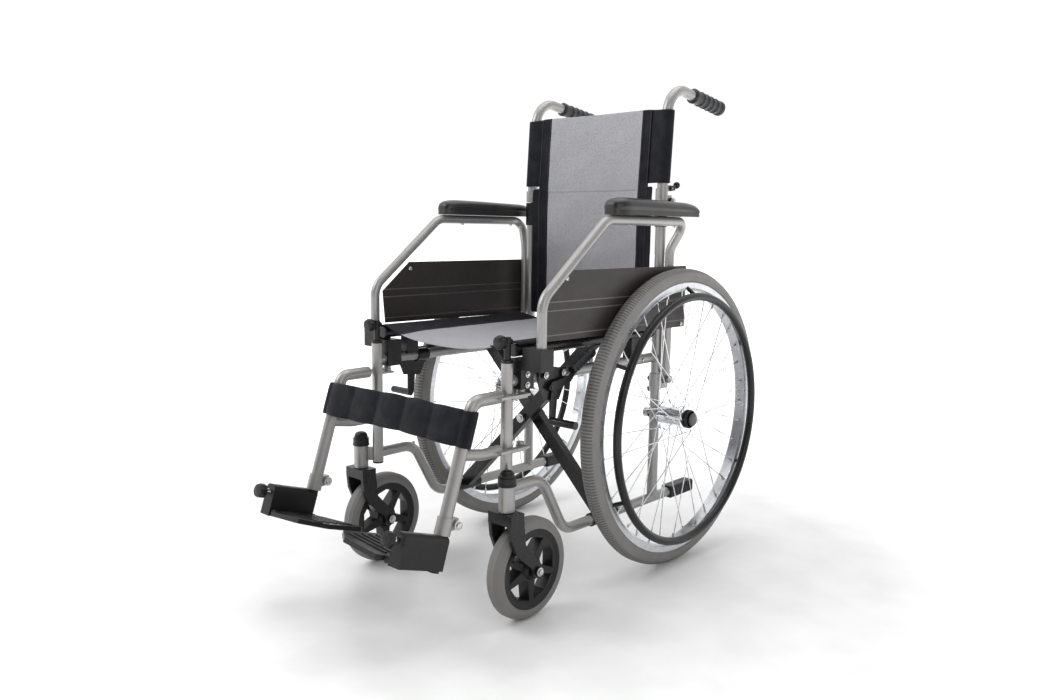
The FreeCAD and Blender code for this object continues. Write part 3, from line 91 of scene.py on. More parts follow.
# ---------------------------------------------------------------- finishes
class Finish:
    """A procedural material: colour that varies, roughness that varies, and stacked bumps."""

    def __init__(self, name, colour, roughness=0.5, metallic=0.0, **sockets):
        self.material = bpy.data.materials.new(name)
        self.material.use_nodes = True
        self.nodes = self.material.node_tree.nodes
        self.links = self.material.node_tree.links
        self.shader = self.nodes["Principled BSDF"]
        self.shader.inputs["Metallic"].default_value = metallic
        for socket, value in sockets.items():
            self.shader.inputs[socket.replace("_", " ")].default_value = value
        self.coordinates = self.nodes.new("ShaderNodeTexCoord").outputs["Object"]
        self.colour = self.mixed(self.noise(9, 3), [c * 0.86 for c in colour], [min(1, c * 1.1) for c in colour])
        self.roughness = self.ranged(self.noise(38, 4), roughness * 0.82, min(1, roughness * 1.18))
        self.normal = None

    def noise(self, scale, detail=2, stretch=None):
        node = self.nodes.new("ShaderNodeTexNoise")
        node.inputs["Scale"].default_value = scale
        node.inputs["Detail"].default_value = detail
        self.links.new(self.stretched(stretch), node.inputs["Vector"])
        return node.outputs["Fac"]

    def stretched(self, stretch):
        if stretch is None:
            return self.coordinates
        node = self.nodes.new("ShaderNodeMapping")
        node.inputs["Scale"].default_value = stretch
        self.links.new(self.coordinates, node.inputs["Vector"])
        return node.outputs["Vector"]

    def cells(self, scale, stretch=None):
        node = self.nodes.new("ShaderNodeTexVoronoi")
        node.inputs["Scale"].default_value = scale
        self.links.new(self.stretched(stretch), node.inputs["Vector"])
        return node.outputs["Distance"]

    def math(self, operation, first, second=None):
        node = self.nodes.new("ShaderNodeMath")
        node.operation = operation
        for socket, value in zip(node.inputs, (first, second)):
            if value is None:
                continue
            if isinstance(value, (int, float)):
                socket.default_value = value
            else:
                self.links.new(value, socket)
        return node.outputs[0]

    def ranged(self, value, low, high, start=0.3, stop=0.7):
        node = self.nodes.new("ShaderNodeMapRange")
        for socket, number in zip(("From Min", "From Max", "To Min", "To Max"), (start, stop, low, high)):
            node.inputs[socket].default_value = number
        self.links.new(value, node.inputs["Value"])
        return node.outputs["Result"]

    def mixed(self, factor, first, second):
        node = self.nodes.new("ShaderNodeMix")
        node.data_type = "RGBA"
        self.links.new(factor, node.inputs["Factor"])
        for socket, value in ((node.inputs[6], first), (node.inputs[7], second)):
            if isinstance(value, (list, tuple)):
                socket.default_value = (*value[:3], 1)
            else:
                self.links.new(value, socket)
        return node.outputs[2]

    def axis(self, letter, centre=(0, 0, 0)):
        shift = self.nodes.new("ShaderNodeVectorMath")
        shift.operation = "SUBTRACT"
        shift.inputs[1].default_value = centre
        self.links.new(self.coordinates, shift.inputs[0])
        split = self.nodes.new("ShaderNodeSeparateXYZ")
        self.links.new(shift.outputs[0], split.inputs[0])
        return split.outputs[letter]

    def waves(self, letter, spacing):
        """Thread lines across one axis, from 0 to 1."""
        turn = self.math("MULTIPLY", self.axis(letter), math.tau / spacing)
        return self.math("MULTIPLY", self.math("ADD", self.math("SINE", turn), 1), 0.5)

    def bump(self, height, distance, strength=1.0):
        node = self.nodes.new("ShaderNodeBump")
        node.inputs["Strength"].default_value = strength
        node.inputs["Distance"].default_value = distance
        self.links.new(height, node.inputs["Height"])
        if self.normal is not None:
            self.links.new(self.normal, node.inputs["Normal"])
        self.normal = node.outputs["Normal"]
        return self

    def tinted(self, factor, colour):
        """Lays another colour over the surface where the factor is high."""
        self.colour = self.mixed(factor, self.colour, colour)
        return self

    def done(self):
        self.links.new(self.colour, self.shader.inputs["Base Color"])
        self.links.new(self.roughness, self.shader.inputs["Roughness"])
        if self.normal is not None:
            self.links.new(self.normal, self.shader.inputs["Normal"])
        return self.material


def silver_paint(name, colour):
    """Silver paint with fine flake, and cloudier where it is handled."""
    paint = Finish(name, colour, 0.36, 0.55, Coat_Weight=0.25, Coat_Roughness=0.2)
    flake = paint.noise(2600, 1)
    paint.tinted(paint.ranged(flake, 0, 0.35, 0.5, 0.75), [min(1, c * 1.5) for c in colour])
    paint.tinted(paint.ranged(paint.noise(24, 6), 0, 0.3, 0.62, 0.8), [c * 0.6 for c in colour])
    return paint.bump(paint.noise(700, 2), 0.0001, 0.25).done()


def moulded(name, colour, roughness=0.5, grain=1400, metallic=0.0):
    plastic = Finish(name, colour, roughness, metallic, Specular_IOR_Level=0.35)
    plastic.tinted(plastic.ranged(plastic.noise(60, 8), 0, 0.4, 0.55, 0.8), [c * 1.8 + 0.004 for c in colour])
    return plastic.bump(plastic.noise(grain, 2), 0.0002, 0.35).done()


def bright_metal(name, colour, roughness=0.22, stretch=(1, 1, 1)):
    metal = Finish(name, colour, roughness, 1.0)
    metal.tinted(metal.ranged(metal.noise(90, 6), 0, 0.5, 0.5, 0.8), [c * 0.55 for c in colour])
    return metal.bump(metal.noise(900, 2, stretch), 0.00008, 0.3).done()


def tyre_rubber(name, joint, count, tread_from, colour):
    """Grey rubber with fine ribs across the tread, painted shade in the grooves between them, and rings round the
    wall.
    """
    rubber = Finish(name, colour, 0.62)
    centre = place_of(joint)
    up, back = rubber.axis("Z", centre), rubber.axis("Y", centre)
    turn = rubber.math("MULTIPLY", rubber.math("ARCTAN2", up, back), count)
    rib = rubber.ranged(rubber.math("SINE", turn), 0, 1, -0.4, 0.3)
    squares = rubber.math("ADD", rubber.math("MULTIPLY", up, up), rubber.math("MULTIPLY", back, back))
    radius = rubber.math("SQRT", squares)
    on_tread = rubber.ranged(radius, 0, 1, tread_from, tread_from + 0.002)
    gap = rubber.math("MULTIPLY", on_tread, rubber.math("SUBTRACT", 1, rib))
    # Painted shade: the grooves between the tread ribs are darkened.
    rubber.tinted(rubber.math("MULTIPLY", gap, 0.7), [c * 0.3 for c in colour])
    rubber.tinted(rubber.ranged(rubber.noise(30, 8), 0, 0.35, 0.55, 0.75), [c * 0.7 for c in colour])
    rings = rubber.math("SINE", rubber.math("MULTIPLY", radius, math.tau / 0.0045))
    rubber.bump(rings, 0.0002, 0.3)
    rubber.bump(rubber.math("SUBTRACT", 1, gap), 0.0012, 0.8)
    return rubber.bump(rubber.noise(1200, 2), 0.0002, 0.3).done()


def woven(name, colour, spacing=0.0016, roughness=0.82, sheen=0.04):
    """Plain woven cloth: two sets of threads with painted shade between them, with pulls and fading."""
    cloth = Finish(name, colour, roughness, Sheen_Weight=sheen, Sheen_Roughness=0.5, Specular_IOR_Level=0.25)
    threads = cloth.math("MULTIPLY", cloth.waves("X", spacing), cloth.waves("Z", spacing))
    along = cloth.math("MULTIPLY", cloth.waves("X", spacing), cloth.waves("Y", spacing))
    height = cloth.math("MAXIMUM", threads, along)
    # Painted shade: the hollows between the threads are darkened.
    cloth.tinted(cloth.math("MULTIPLY", cloth.math("SUBTRACT", 1, height), 0.4), [c * 0.55 for c in colour])
    cloth.bump(cloth.noise(26, 3), 0.0025, 0.35)
    return cloth.bump(height, 0.0006, 0.6).done()


def spacer_mesh(name, colour):
    """Open spacer mesh: rows of small round eyelets, darkened as painted shade, over a softer ground."""
    mesh = Finish(name, colour, 0.75, Sheen_Weight=0.08, Sheen_Roughness=0.5)
    eyelets = mesh.cells(330)
    # Painted shade: the eyelets are darkened where open holes would be in shade.
    eyelet_shade = mesh.ranged(eyelets, 0.55, 0, 0.16, 0.42)
    mesh.tinted(eyelet_shade, [c * 0.5 for c in colour])
    mesh.bump(mesh.noise(18, 3), 0.003, 0.3)
    return mesh.bump(mesh.ranged(eyelets, 0, 1, 0.1, 0.5), 0.0008, 0.7).done()


def soft_cover(name, colour):
    """Smooth vinyl with a fine leather grain."""
    cover = Finish(name, colour, 0.34, Coat_Weight=0.15, Coat_Roughness=0.3)
    cover.bump(cover.noise(22, 3), 0.0015, 0.25)
    return cover.bump(cover.cells(650), 0.0004, 0.5).done()


def panel_board(name):
    """Moulded guard board with painted highlights as lighter level hairlines, and fine grain."""
    board = Finish(name, (0.03, 0.025, 0.024), 0.36, Specular_IOR_Level=0.35)
    low, high = BOX["side_panel_left"][0][2], BOX["side_panel_left"][1][2]
    # Painted highlights: three lighter level hairlines across the board.
    for share in (0.1, 0.44, 0.56):
        level = low + (high - low) * share + 0.0012
        distance = board.math("ABSOLUTE", board.math("SUBTRACT", board.axis("Z"), level))
        board.tinted(board.ranged(distance, 0.8, 0, 0.0006, 0.0014), (0.16, 0.15, 0.14))
    board.tinted(board.ranged(board.noise(240, 6), 0, 0.5, 0.55, 0.8), (0.075, 0.066, 0.06))
    return board.bump(board.noise(1500, 2), 0.0003, 0.5).done()


def make_finishes(look):
    """Every finish by its short name."""
    silver = tuple(look.silver)
    black = (0.006, 0.006, 0.007)
    grey = tuple(look.tyre_grey)
    finishes = {
        "silver": silver_paint("silver_paint", silver),
        "black_plastic": moulded("black_plastic", black, 0.38),
        "black_paint": moulded("black_paint", (0.01, 0.01, 0.011), 0.28, 500),
        "cap": moulded("grey_plastic", (0.09, 0.09, 0.095), 0.4),
        "zinc": bright_metal("zinc", (0.62, 0.62, 0.61), 0.27),
        "chrome": bright_metal("chrome", (0.8, 0.81, 0.83), 0.12),
        "rim": bright_metal("rim_metal", (0.66, 0.67, 0.7), 0.3, (1, 40, 40)),
        "grip": moulded("grip_rubber", (0.022, 0.023, 0.026), 0.45, 900),
        "mesh": spacer_mesh("grey_mesh", tuple(look.mesh_grey)),
        "cloth": woven("black_cloth", (0.0055, 0.006, 0.0095)),
        "cover": soft_cover("black_cover", (0.007, 0.007, 0.008)),
        "board": panel_board("guard_board"),
        "thread": moulded("stitch_thread", (0.03, 0.03, 0.034), 0.7, 2500),
    }
    for side, _ in SIDES:
        finishes[f"tyre_{side}"] = tyre_rubber(f"tyre_{side}_rubber", f"{side}_wheel_spin", 300, 0.292, grey)
        finishes[f"caster_tyre_{side}"] = tyre_rubber(
            f"caster_{side}_rubber", f"{side}_caster_spin", 40, 0.2, [c * 0.85 for c in grey])
    return finishes


FINISH = {}
NODE_FINISHES = {
    "silver": ("side_frame", "arm_tube", "back_cane", "hanger"),
    "black_plastic": ("arm_socket", "seat_saddles", "end_caps", "caster_wheel", "legrest_lock", "footplate",
                      "footrest_tube", "brake_lever", "back_lever"),
    "black_paint": ("fork", "handrim", "brake_bracket", "brake_arm", "back_hinge", "brace_a", "brace_b"),
    "zinc": ("wheel_axle", "brace_bolt"),
    "chrome": ("hub", "spokes"),
    "rim": ("rim",),
    "grip": ("handle_grip",),
    "cover": ("arm_pad",),
    "board": ("side_panel",),
    "cloth": ("seat_sling", "back_sling", "calf_strap"),
}


def finish_of(node):
    """The finish that a CAD node takes, by its name."""
    stem = node.rpartition("_")[0]
    if stem in ("tyre", "caster_tyre"):
        return FINISH[node]
    for finish, stems in NODE_FINISHES.items():
        if node in stems or stem in stems:
            return FINISH[finish]
    raise RuntimeError(f"no finish is named for {node}")


# ---------------------------------------------------------------- modelling
def piece_from(name, points, faces, finish, second=None, is_second=None):
    """A mesh piece from its points and faces, with a second finish where a test of the face's centre says so."""
    mesh = bpy.data.meshes.new(name)
    mesh.from_pydata([tuple(p) for p in points], [], faces)
    piece = bpy.data.objects.new(name, mesh)
    bpy.context.scene.collection.objects.link(piece)
    mesh.materials.append(finish)
    if second:
        mesh.materials.append(second)
        for face in mesh.polygons:
            face.material_index = int(is_second(face.center))
    select_only(piece)
    bpy.ops.object.mode_set(mode="EDIT")
    bpy.ops.mesh.select_all(action="SELECT")
    bpy.ops.mesh.remove_doubles(threshold=1e-6)
    bpy.ops.mesh.normals_make_consistent(inside=False)
    bpy.ops.object.mode_set(mode="OBJECT")
    bpy.ops.object.shade_smooth()
    return piece


def select_only(piece):
    bpy.ops.object.select_all(action="DESELECT")
    piece.select_set(True)
    bpy.context.view_layer.objects.active = piece


def apply(piece, kind, **settings):
    """Adds one modifier with its settings and applies it."""
    select_only(piece)
    modifier = piece.modifiers.new(kind.lower(), kind)
    for setting, value in settings.items():
        setattr(modifier, setting, value)
    bpy.ops.object.modifier_apply(modifier=modifier.name)


def grid_faces(rows, columns, closed=False):
    """Quads over a grid of points held row by row; closed joins the last column to the first."""
    faces = []
    for row in range(rows - 1):
        for column in range(columns if closed else columns - 1):
            following = (column + 1) % columns
            a, b = row * columns, (row + 1) * columns
            faces.append((a + column, a + following, b + following, b + column))
    return faces


def turned(name, outline, centre, direction, finish, sides=24):
    """A turned piece: an outline of (radius, along) spun round a direction through a centre."""
    turn = Vector(direction).to_track_quat("Z", "Y").to_matrix()
    points = []
    for radius, along in outline:
        for step in range(sides):
            angle = math.tau * step / sides
            points.append(centre + turn @ Vector((radius * math.cos(angle), radius * math.sin(angle), along)))
    faces = grid_faces(len(outline), sides, closed=True)
    faces += [tuple(range(sides))[::-1], tuple(range((len(outline) - 1) * sides, len(outline) * sides))]
    return piece_from(name, points, faces, finish)


def joined(pieces, name):
    """Joins copies of small like parts into one piece."""
    bpy.ops.object.select_all(action="DESELECT")
    for piece in pieces:
        piece.select_set(True)
    bpy.context.view_layer.objects.active = pieces[0]
    bpy.ops.object.join()
    result = bpy.context.view_layer.objects.active
    result.name = name
    result.data.name = name
    return result


def crisp(piece, width=0.0004):
    """Small bevels on the sharp edges, and smooth shading between them."""
    apply(piece, "BEVEL", width=width, segments=2, limit_method="ANGLE", angle_limit=math.radians(40))
    select_only(piece)
    bpy.ops.object.shade_smooth_by_angle(angle=math.radians(40))
    return piece


def hex_bolt(name, centre, direction, radius, finish):
    """A washer under a six-sided head with a domed top."""
    direction = Vector(direction)
    washer = turned(f"{name}_washer", [(radius * 1.5, 0), (radius * 1.5, radius * 0.25)], centre, direction, finish)
    head = turned(f"{name}_head",
                  [(radius * 1.12, radius * 0.25), (radius * 1.12, radius * 0.85), (radius * 0.8, radius)],
                  centre, direction, finish, 6)
    return [crisp(washer, 0.0002), crisp(head, 0.0003)]


def pan_screw(name, centre, direction, radius, finish):
    """A low domed screw head with a recess."""
    outline = [(radius, 0), (radius, 0.25 * radius), (radius * 0.8, 0.5 * radius), (radius * 0.45, 0.62 * radius),
               (radius * 0.4, 0.35 * radius)]
    return [crisp(turned(name, outline, centre, direction, finish, 18), 0.0002)]


def fluted_knob(name, centre, direction, radius, length, finish, flutes=9):
    """A hand knob: a turned body with finger flutes and a rounded nose."""
    turn = Vector(direction).to_track_quat("Z", "Y").to_matrix()
    sides = flutes * 6
    outline = [(0.5, 0), (0.9, 0.02), (1, 0.14), (1, 0.7), (0.9, 0.9), (0.65, 0.98), (0.3, 1)]
    points = []
    for share, along in outline:
        for step in range(sides):
            angle = math.tau * step / sides
            wave = 1 - 0.09 * (0.5 + 0.5 * math.cos(flutes * angle)) * (share > 0.6)
            r = radius * share * wave
            points.append(centre + turn @ Vector((r * math.cos(angle), r * math.sin(angle), along * length)))
    faces = grid_faces(len(outline), sides, closed=True)
    faces += [tuple(range(sides))[::-1], tuple(range((len(outline) - 1) * sides, len(outline) * sides))]
    return piece_from(name, points, faces, finish)


def add(piece, body, slot, *nodes):
    """Says what a finished piece rides on, and hides the nodes that it stands for; its record finish, the slot, is
    not used.
    """
    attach(piece, body)
    if nodes:
        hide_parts(*nodes)
    return piece


# ---------------------------------------------------------------- fabric
def smooth(value):
    """Eases from 0 to 1."""
    value = max(0.0, min(1.0, value))
    return value * value * (3 - 2 * value)


def make_seat(look):
    """The seat: cloth borders wrapped over the seat tubes, and a mesh middle that sags most at its front edge."""
    low, high = BOX["seat_sling"]
    rows, points = 46, []
    span = POST_X - 0.004
    profile = [span * math.sin(math.pi / 2 * (step / 26 - 1)) for step in range(53)]
    wrap_angles = (0.75, 0.9, 1.05, 1.2)
    for row in range(rows):
        share = row / (rows - 1)
        y = low[1] + 0.003 + (high[1] - low[1] - 0.006) * share
        front = (1 - smooth(share * 7)) * 0.004
        sag = look.seat_sag * (1 - 0.25 * share)
        line = []
        for angle in wrap_angles:
            line.append((-POST_X - SEAT_WRAP * math.cos(angle), y, SEAT_TUBE_Z + SEAT_WRAP * math.sin(angle)))
        for x in profile:
            across = abs(x) / span
            wrinkle = 0.0005 * math.sin(31 * x + 17 * y) + 0.0004 * math.sin(90 * y + 40 * x * x)
            drop = sag * (1 - across ** 2.2) + front * (1 - across ** 4)
            line.append((x, y, SEAT_TUBE_Z + SEAT_WRAP - drop + wrinkle * (1 - across)))
        for angle in reversed(wrap_angles):
            line.append((POST_X + SEAT_WRAP * math.cos(angle), y, SEAT_TUBE_Z + SEAT_WRAP * math.sin(angle)))
        points += line
    columns = len(line)
    seat = piece_from("seat_fabric", points, grid_faces(rows, columns), FINISH["cloth"], FINISH["mesh"],
                      lambda centre: abs(centre.x) < look.mesh_half_width - 0.006)
    apply(seat, "SOLIDIFY", thickness=0.0032, offset=1)
    apply(seat, "SUBSURF", levels=1, render_levels=1)
    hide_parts("seat_sling")
    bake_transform(seat)
    seams(look.mesh_half_width - 0.006, seat_seam_line, "seat_seam", look)


def seat_seam_line(x, look):
    """The line of a seat seam at one distance from the middle, just above the cloth."""
    low, high = BOX["seat_sling"]
    across = abs(x) / 0.171
    line = []
    for step in range(60):
        share = step / 59
        y = low[1] + 0.004 + (high[1] - low[1] - 0.008) * share
        front = (1 - smooth(share * 7)) * 0.004
        sag = look.seat_sag * (1 - 0.25 * share)
        height = SEAT_TUBE_Z + SEAT_WRAP + 0.0036
        line.append((x, y, height - sag * (1 - across ** 2.2) - front * (1 - across ** 4)))
    return line


def cord_mesh(name, line, radius, finish, sides=6, closed=False):
    """A round-section strip along a line of points."""
    points = []
    for number, place in enumerate(line):
        here = Vector(place)
        ahead = Vector(line[(number + 1) % len(line)] if closed or number < len(line) - 1 else line[number])
        behind = Vector(line[number - 1] if closed or number else line[0])
        turn = (ahead - behind).to_track_quat("Z", "Y").to_matrix()
        for step in range(sides):
            angle = math.tau * step / sides
            points.append(here + turn @ Vector((radius * math.cos(angle), radius * math.sin(angle), 0)))
    faces = grid_faces(len(line), sides, closed=True)
    faces += [tuple(range(sides))[::-1], tuple(range((len(line) - 1) * sides, len(line) * sides))]
    return piece_from(name, points, faces, finish)


def seams(half_width, line_at, name, look):
    """Two raised seams where the mesh middle meets the cloth borders."""
    for side, sign in SIDES:
        seam = cord_mesh(f"{name}_{side}", line_at(sign * half_width, look), 0.0011, FINISH["thread"])
        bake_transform(seam)


def back_section(sleeved):
    """The back's outline seen from above, as (x, y) from the post: round the posts where it is sleeved."""
    post_x, reach = POST_X, SLEEVE_REACH
    half = []
    if sleeved:
        for step in range(17):
            angle = math.radians(150 - 240 * step / 16)
            half.append((post_x + reach * math.cos(angle), reach * math.sin(angle)))
    edge = post_x - 0.002 if sleeved else post_x - 0.014
    if not sleeved:
        half.append((edge, -reach))
    for step in range(1, 20):
        x = edge * (1 - step / 20)
        half.append((x, -reach + back_slack(x)))
    return half + [(0, -reach + back_slack(0))] + [(-x, y) for x, y in reversed(half)]


def back_slack(x):
    """How far the back hangs rearwards between the posts."""
    return 0.014 * (1 - min(1.0, abs(x) / 0.173) ** 2)


def post_y(height):
    """How far back the folding post stands at a height above its hinge."""
    hinge = place_of("left_back_fold")
    return place_of("left_wheel_spin").y + BACK_LEAN * max(0.0, height - hinge.z)


def make_back_part(name, low_z, high_z, sleeved, body, look):
    """One part of the back: the panel, and a sleeve round each cane that moves with that cane."""
    outline = back_section(sleeved)
    lap = 0.0012 if sleeved else 0
    split = 0.1471 if sleeved else 0.2
    panel = [place for place in outline if abs(place[0]) <= split]
    pieces = [(name, body, panel, low_z)]
    if sleeved:
        sleeve_low = BOX["back_hinge_left"][1][2] + 0.028
        for side, sign in SIDES:
            around = [(x, y + (0.003 if abs(x) <= split else 0)) for x, y in outline if sign * x >= split - 0.0092]
            pieces.append((f"{name}_sleeve_{side}", f"{side}_back", around, sleeve_low))
    for piece_name, ridden, around, start in pieces:
        part = back_cloth(piece_name, around, start, high_z, sleeved, lap, look)
        add(part, ridden, "sling_fabric", "back_sling")
        if piece_name == name:
            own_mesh(part)
    lines = []
    for sign in (-1, 1):
        for inset in (0, 0.02):
            x = sign * (look.mesh_half_width + inset)
            line = []
            for step in range(41):
                z = low_z + 0.002 + (high_z - low_z - 0.005) * step / 40
                line.append((x, post_y(z) - SLEEVE_REACH + back_slack(x) - lap * 0.4 - 0.0013, z))
            lines.append(cord_mesh(f"{name}_seam", line, 0.0009, FINISH["thread"]))
    seam = add(joined(lines, f"{name}_seams"), body, "strap_fabric")
    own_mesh(seam)


def back_cloth(name, outline, low_z, high_z, sleeved, lap, look):
    """Cloth along an outline seen from above, leaning with the canes, with slight pulls and one long crease."""
    rows = 40
    points = []
    for row in range(rows):
        share = row / (rows - 1)
        for x, y in outline:
            peak = 0.003 * smooth((abs(x) - 0.13) / 0.04) if sleeved else 0
            z = low_z + (high_z - peak - low_z) * share
            slack = 1 - min(1, abs(x) / 0.165) ** 2
            wrinkle = (0.0008 * math.sin(38 * z + 16 * x) + 0.0005 * math.sin(90 * z - 34 * x)
                       + 0.0016 * math.exp(-((x - 0.03 - 0.5 * (z - 0.7)) / 0.02) ** 2)) * slack
            points.append((x, post_y(z) + y + wrinkle - lap * slack, z))
    part = piece_from(name, points, grid_faces(rows, len(outline)), FINISH["cloth"], FINISH["mesh"],
                      lambda centre: abs(centre.x) < look.mesh_half_width and centre.y < post_y(centre.z) + 0.008)
    apply(part, "SOLIDIFY", thickness=0.0026, offset=0)
    apply(part, "SUBSURF", levels=1, render_levels=1)
    return part


def make_calf_strap(look):
    """The padded calf strap: quilted cells in front of the leg tubes, wrapped back round both."""
    leg_x, tube = LEG_X, 0.0125
    down = Vector((0, -math.sin(LEG_TILT), -math.cos(LEG_TILT)))
    front = Vector((0, -math.cos(LEG_TILT), math.sin(LEG_TILT)))
    leg_end = place_of("left_footrest_slide")
    middle_point = leg_end - down * ((0.352 - leg_end.z) / math.cos(LEG_TILT))
    middle_point.x = 0
    path = []
    for step in range(9):
        path.append((leg_x * (0.35 + 0.65 * step / 8), -tube))
    for step in range(1, 12):
        angle = math.radians(-90 + 180 * step / 12)
        path.append((leg_x + tube * math.cos(angle), tube * math.sin(angle)))
    half_front = 44
    for step in range(half_front + 1):
        path.append((leg_x * (1 - step / half_front), tube))
    path += [(-x, d) for x, d in reversed(path[:-1])]
    section = 28
    cells = look.strap_cells
    cell_width = 2 * leg_x / cells
    height = 0.031
    points = []
    for index, (x, distance) in enumerate(path):
        before = Vector((*path[max(0, index - 1)], 0))
        after = Vector((*path[min(len(path) - 1, index + 1)], 0))
        along = (after - before).normalized()
        outward = Vector((-along.y, along.x, 0))
        if outward.dot(Vector((x - math.copysign(leg_x, x), distance, 0))) < 0 and abs(x) > leg_x - 0.02:
            outward = -outward
        elif abs(x) <= leg_x - 0.02:
            outward = Vector((0, 1 if distance > 0 else -1, 0))
        on_front = smooth((distance + 0.002) / 0.012)
        phase = ((x + leg_x) / cell_width) % 1.0
        puff = (math.sin(math.pi * phase) ** 0.55) * on_front
        thick = 0.0022 + 0.0078 * puff
        sag = 0.0015 * math.sin(17 * x + 1) * on_front
        for step in range(section):
            angle = math.tau * step / section
            reach = height - 0.002 * (1 - puff) * on_front
            up = math.copysign(abs(math.cos(angle)) ** 0.35, math.cos(angle)) * reach
            out = math.copysign(abs(math.sin(angle)) ** 0.75, math.sin(angle))
            depth = thick * (0.5 + 0.5 * out) if out > 0 else thick * 0.5 + 0.001 * out
            crease = 0.0004 * math.sin(300 * x) * (abs(math.cos(angle)) > 0.85) * on_front
            local = Vector((x, distance, 0)) + outward * (depth + crease)
            points.append(middle_point + Vector((local.x, 0, 0)) + front * local.y - down * (up + sag))
    faces = grid_faces(len(path), section, closed=True)
    faces += [tuple(range(section))[::-1], tuple(range((len(path) - 1) * section, len(path) * section))]
    strap = piece_from("calf_strap_pad", points, faces, FINISH["cloth"])
    apply(strap, "SUBSURF", levels=1, render_levels=1)
    add(strap, "left_legrest", "strap_fabric", "calf_strap")
    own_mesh(strap)


def make_pad(side):
    """An arm pad: a crowned soft top over a narrower base, rounded at both ends, with a line where they meet."""
    node = f"arm_pad_{side}"
    low, high = (Vector(corner) for corner in BOX[node])
    x0 = (low.x + high.x) / 2
    half = (high.x - low.x) / 2
    base, top = low.z, high.z
    rows, sides = 90, 60
    points = []
    for row in range(rows):
        share = 0.5 - 0.5 * math.cos(math.pi * row / (rows - 1))
        y = low.y + (high.y - low.y) * share
        nose = math.sqrt(max(0.0, 1 - max(0.0, 1 - share / 0.13) ** 2))
        tail = math.sqrt(max(0.0, 1 - max(0.0, 1 - (1 - share) / 0.16) ** 2))
        fall = 1 - 0.12 * smooth(share * 1.2 - 0.2)
        crown = (top - base) * (0.5 + 0.5 * nose ** 0.8 * (0.35 + 0.65 * tail)) * fall
        for step in range(sides):
            angle = math.tau * step / sides
            c, s = math.cos(angle), math.sin(angle)
            is_base = s < -0.05
            x = math.copysign(min(1.0, abs(c) * 1.5) if is_base else abs(c) ** 0.62, c)
            width = half * (0.3 + 0.7 * nose) * (0.94 if is_base else 1)
            if is_base:
                z = 0.4 * (1 - min(1.0, abs(s) * 1.6))
            else:
                z = 0.44 + 0.56 * abs(s) ** 0.85
                width *= 1 - 0.12 * (1 - tail) * abs(s)
            points.append((x0 + width * x, y, base + (crown if z > 0.42 else top - base) * z))
    faces = grid_faces(rows, sides, closed=True)
    faces += [tuple(range(sides))[::-1], tuple(range((rows - 1) * sides, rows * sides))]
    pad = piece_from(f"pad_{side}", points, faces, FINISH["cover"])
    crisp(pad, 0.0008)
    add(pad, f"{side}_arm", "pad_cover", node)
    screws = []
    for y in (low.y + 0.06, high.y - 0.05):
        screws += pan_screw(f"pad_screw_{side}", Vector((x0, y, base - 0.0188)), (0, 0, -1), 0.004, FINISH["zinc"])
    add(joined(screws, f"pad_screws_{side}"), f"{side}_arm", "zinc_steel")


# ---------------------------------------------------------------- fasteners and fittings
def make_wheel_details(side, sign):
    """Nipples at the rim, a cap over the axle head and the hub's outer seal."""
    centre = place_of(f"{side}_wheel_spin")
    nipples = []
    for number in range(36):
        angle = math.tau * number / 36
        outward = Vector((0, math.cos(angle), math.sin(angle)))
        lean = 0.002 if number % 2 else -0.002
        place = centre + outward * 0.2445 + Vector((sign * lean, 0, 0))
        nipple = turned(f"nipple_{side}", [(0.0016, 0), (0.0021, 0.002), (0.0021, 0.0118), (0.0028, 0.0128)],
                        place, outward, FINISH["zinc"], 8)
        nipples.append(nipple)
    add(joined(nipples, f"nipples_{side}"), f"{side}_wheel", "spoke_steel")
    outer = BOX[f"wheel_axle_{side}"][1 if sign > 0 else 0][0]
    cap = turned(f"axle_cap_{side}", [(0.0128, -0.0045), (0.0132, -0.001), (0.0118, 0.0006), (0.006, 0.0015)],
                 Vector((outer, centre.y, centre.z)), (sign, 0, 0), FINISH["cap"], 32)
    add(cap, f"{side}_frame", "black_plastic")
    hub_out = BOX[f"hub_{side}"][1 if sign > 0 else 0][0]
    ring = turned(f"hub_ring_{side}", [(0.0172, -0.0068), (0.0185, -0.006), (0.0185, -0.002), (0.0165, 0)],
                  Vector((hub_out, centre.y, centre.z)), (sign, 0, 0), FINISH["black_plastic"], 40)
    add(ring, f"{side}_wheel", "black_plastic")


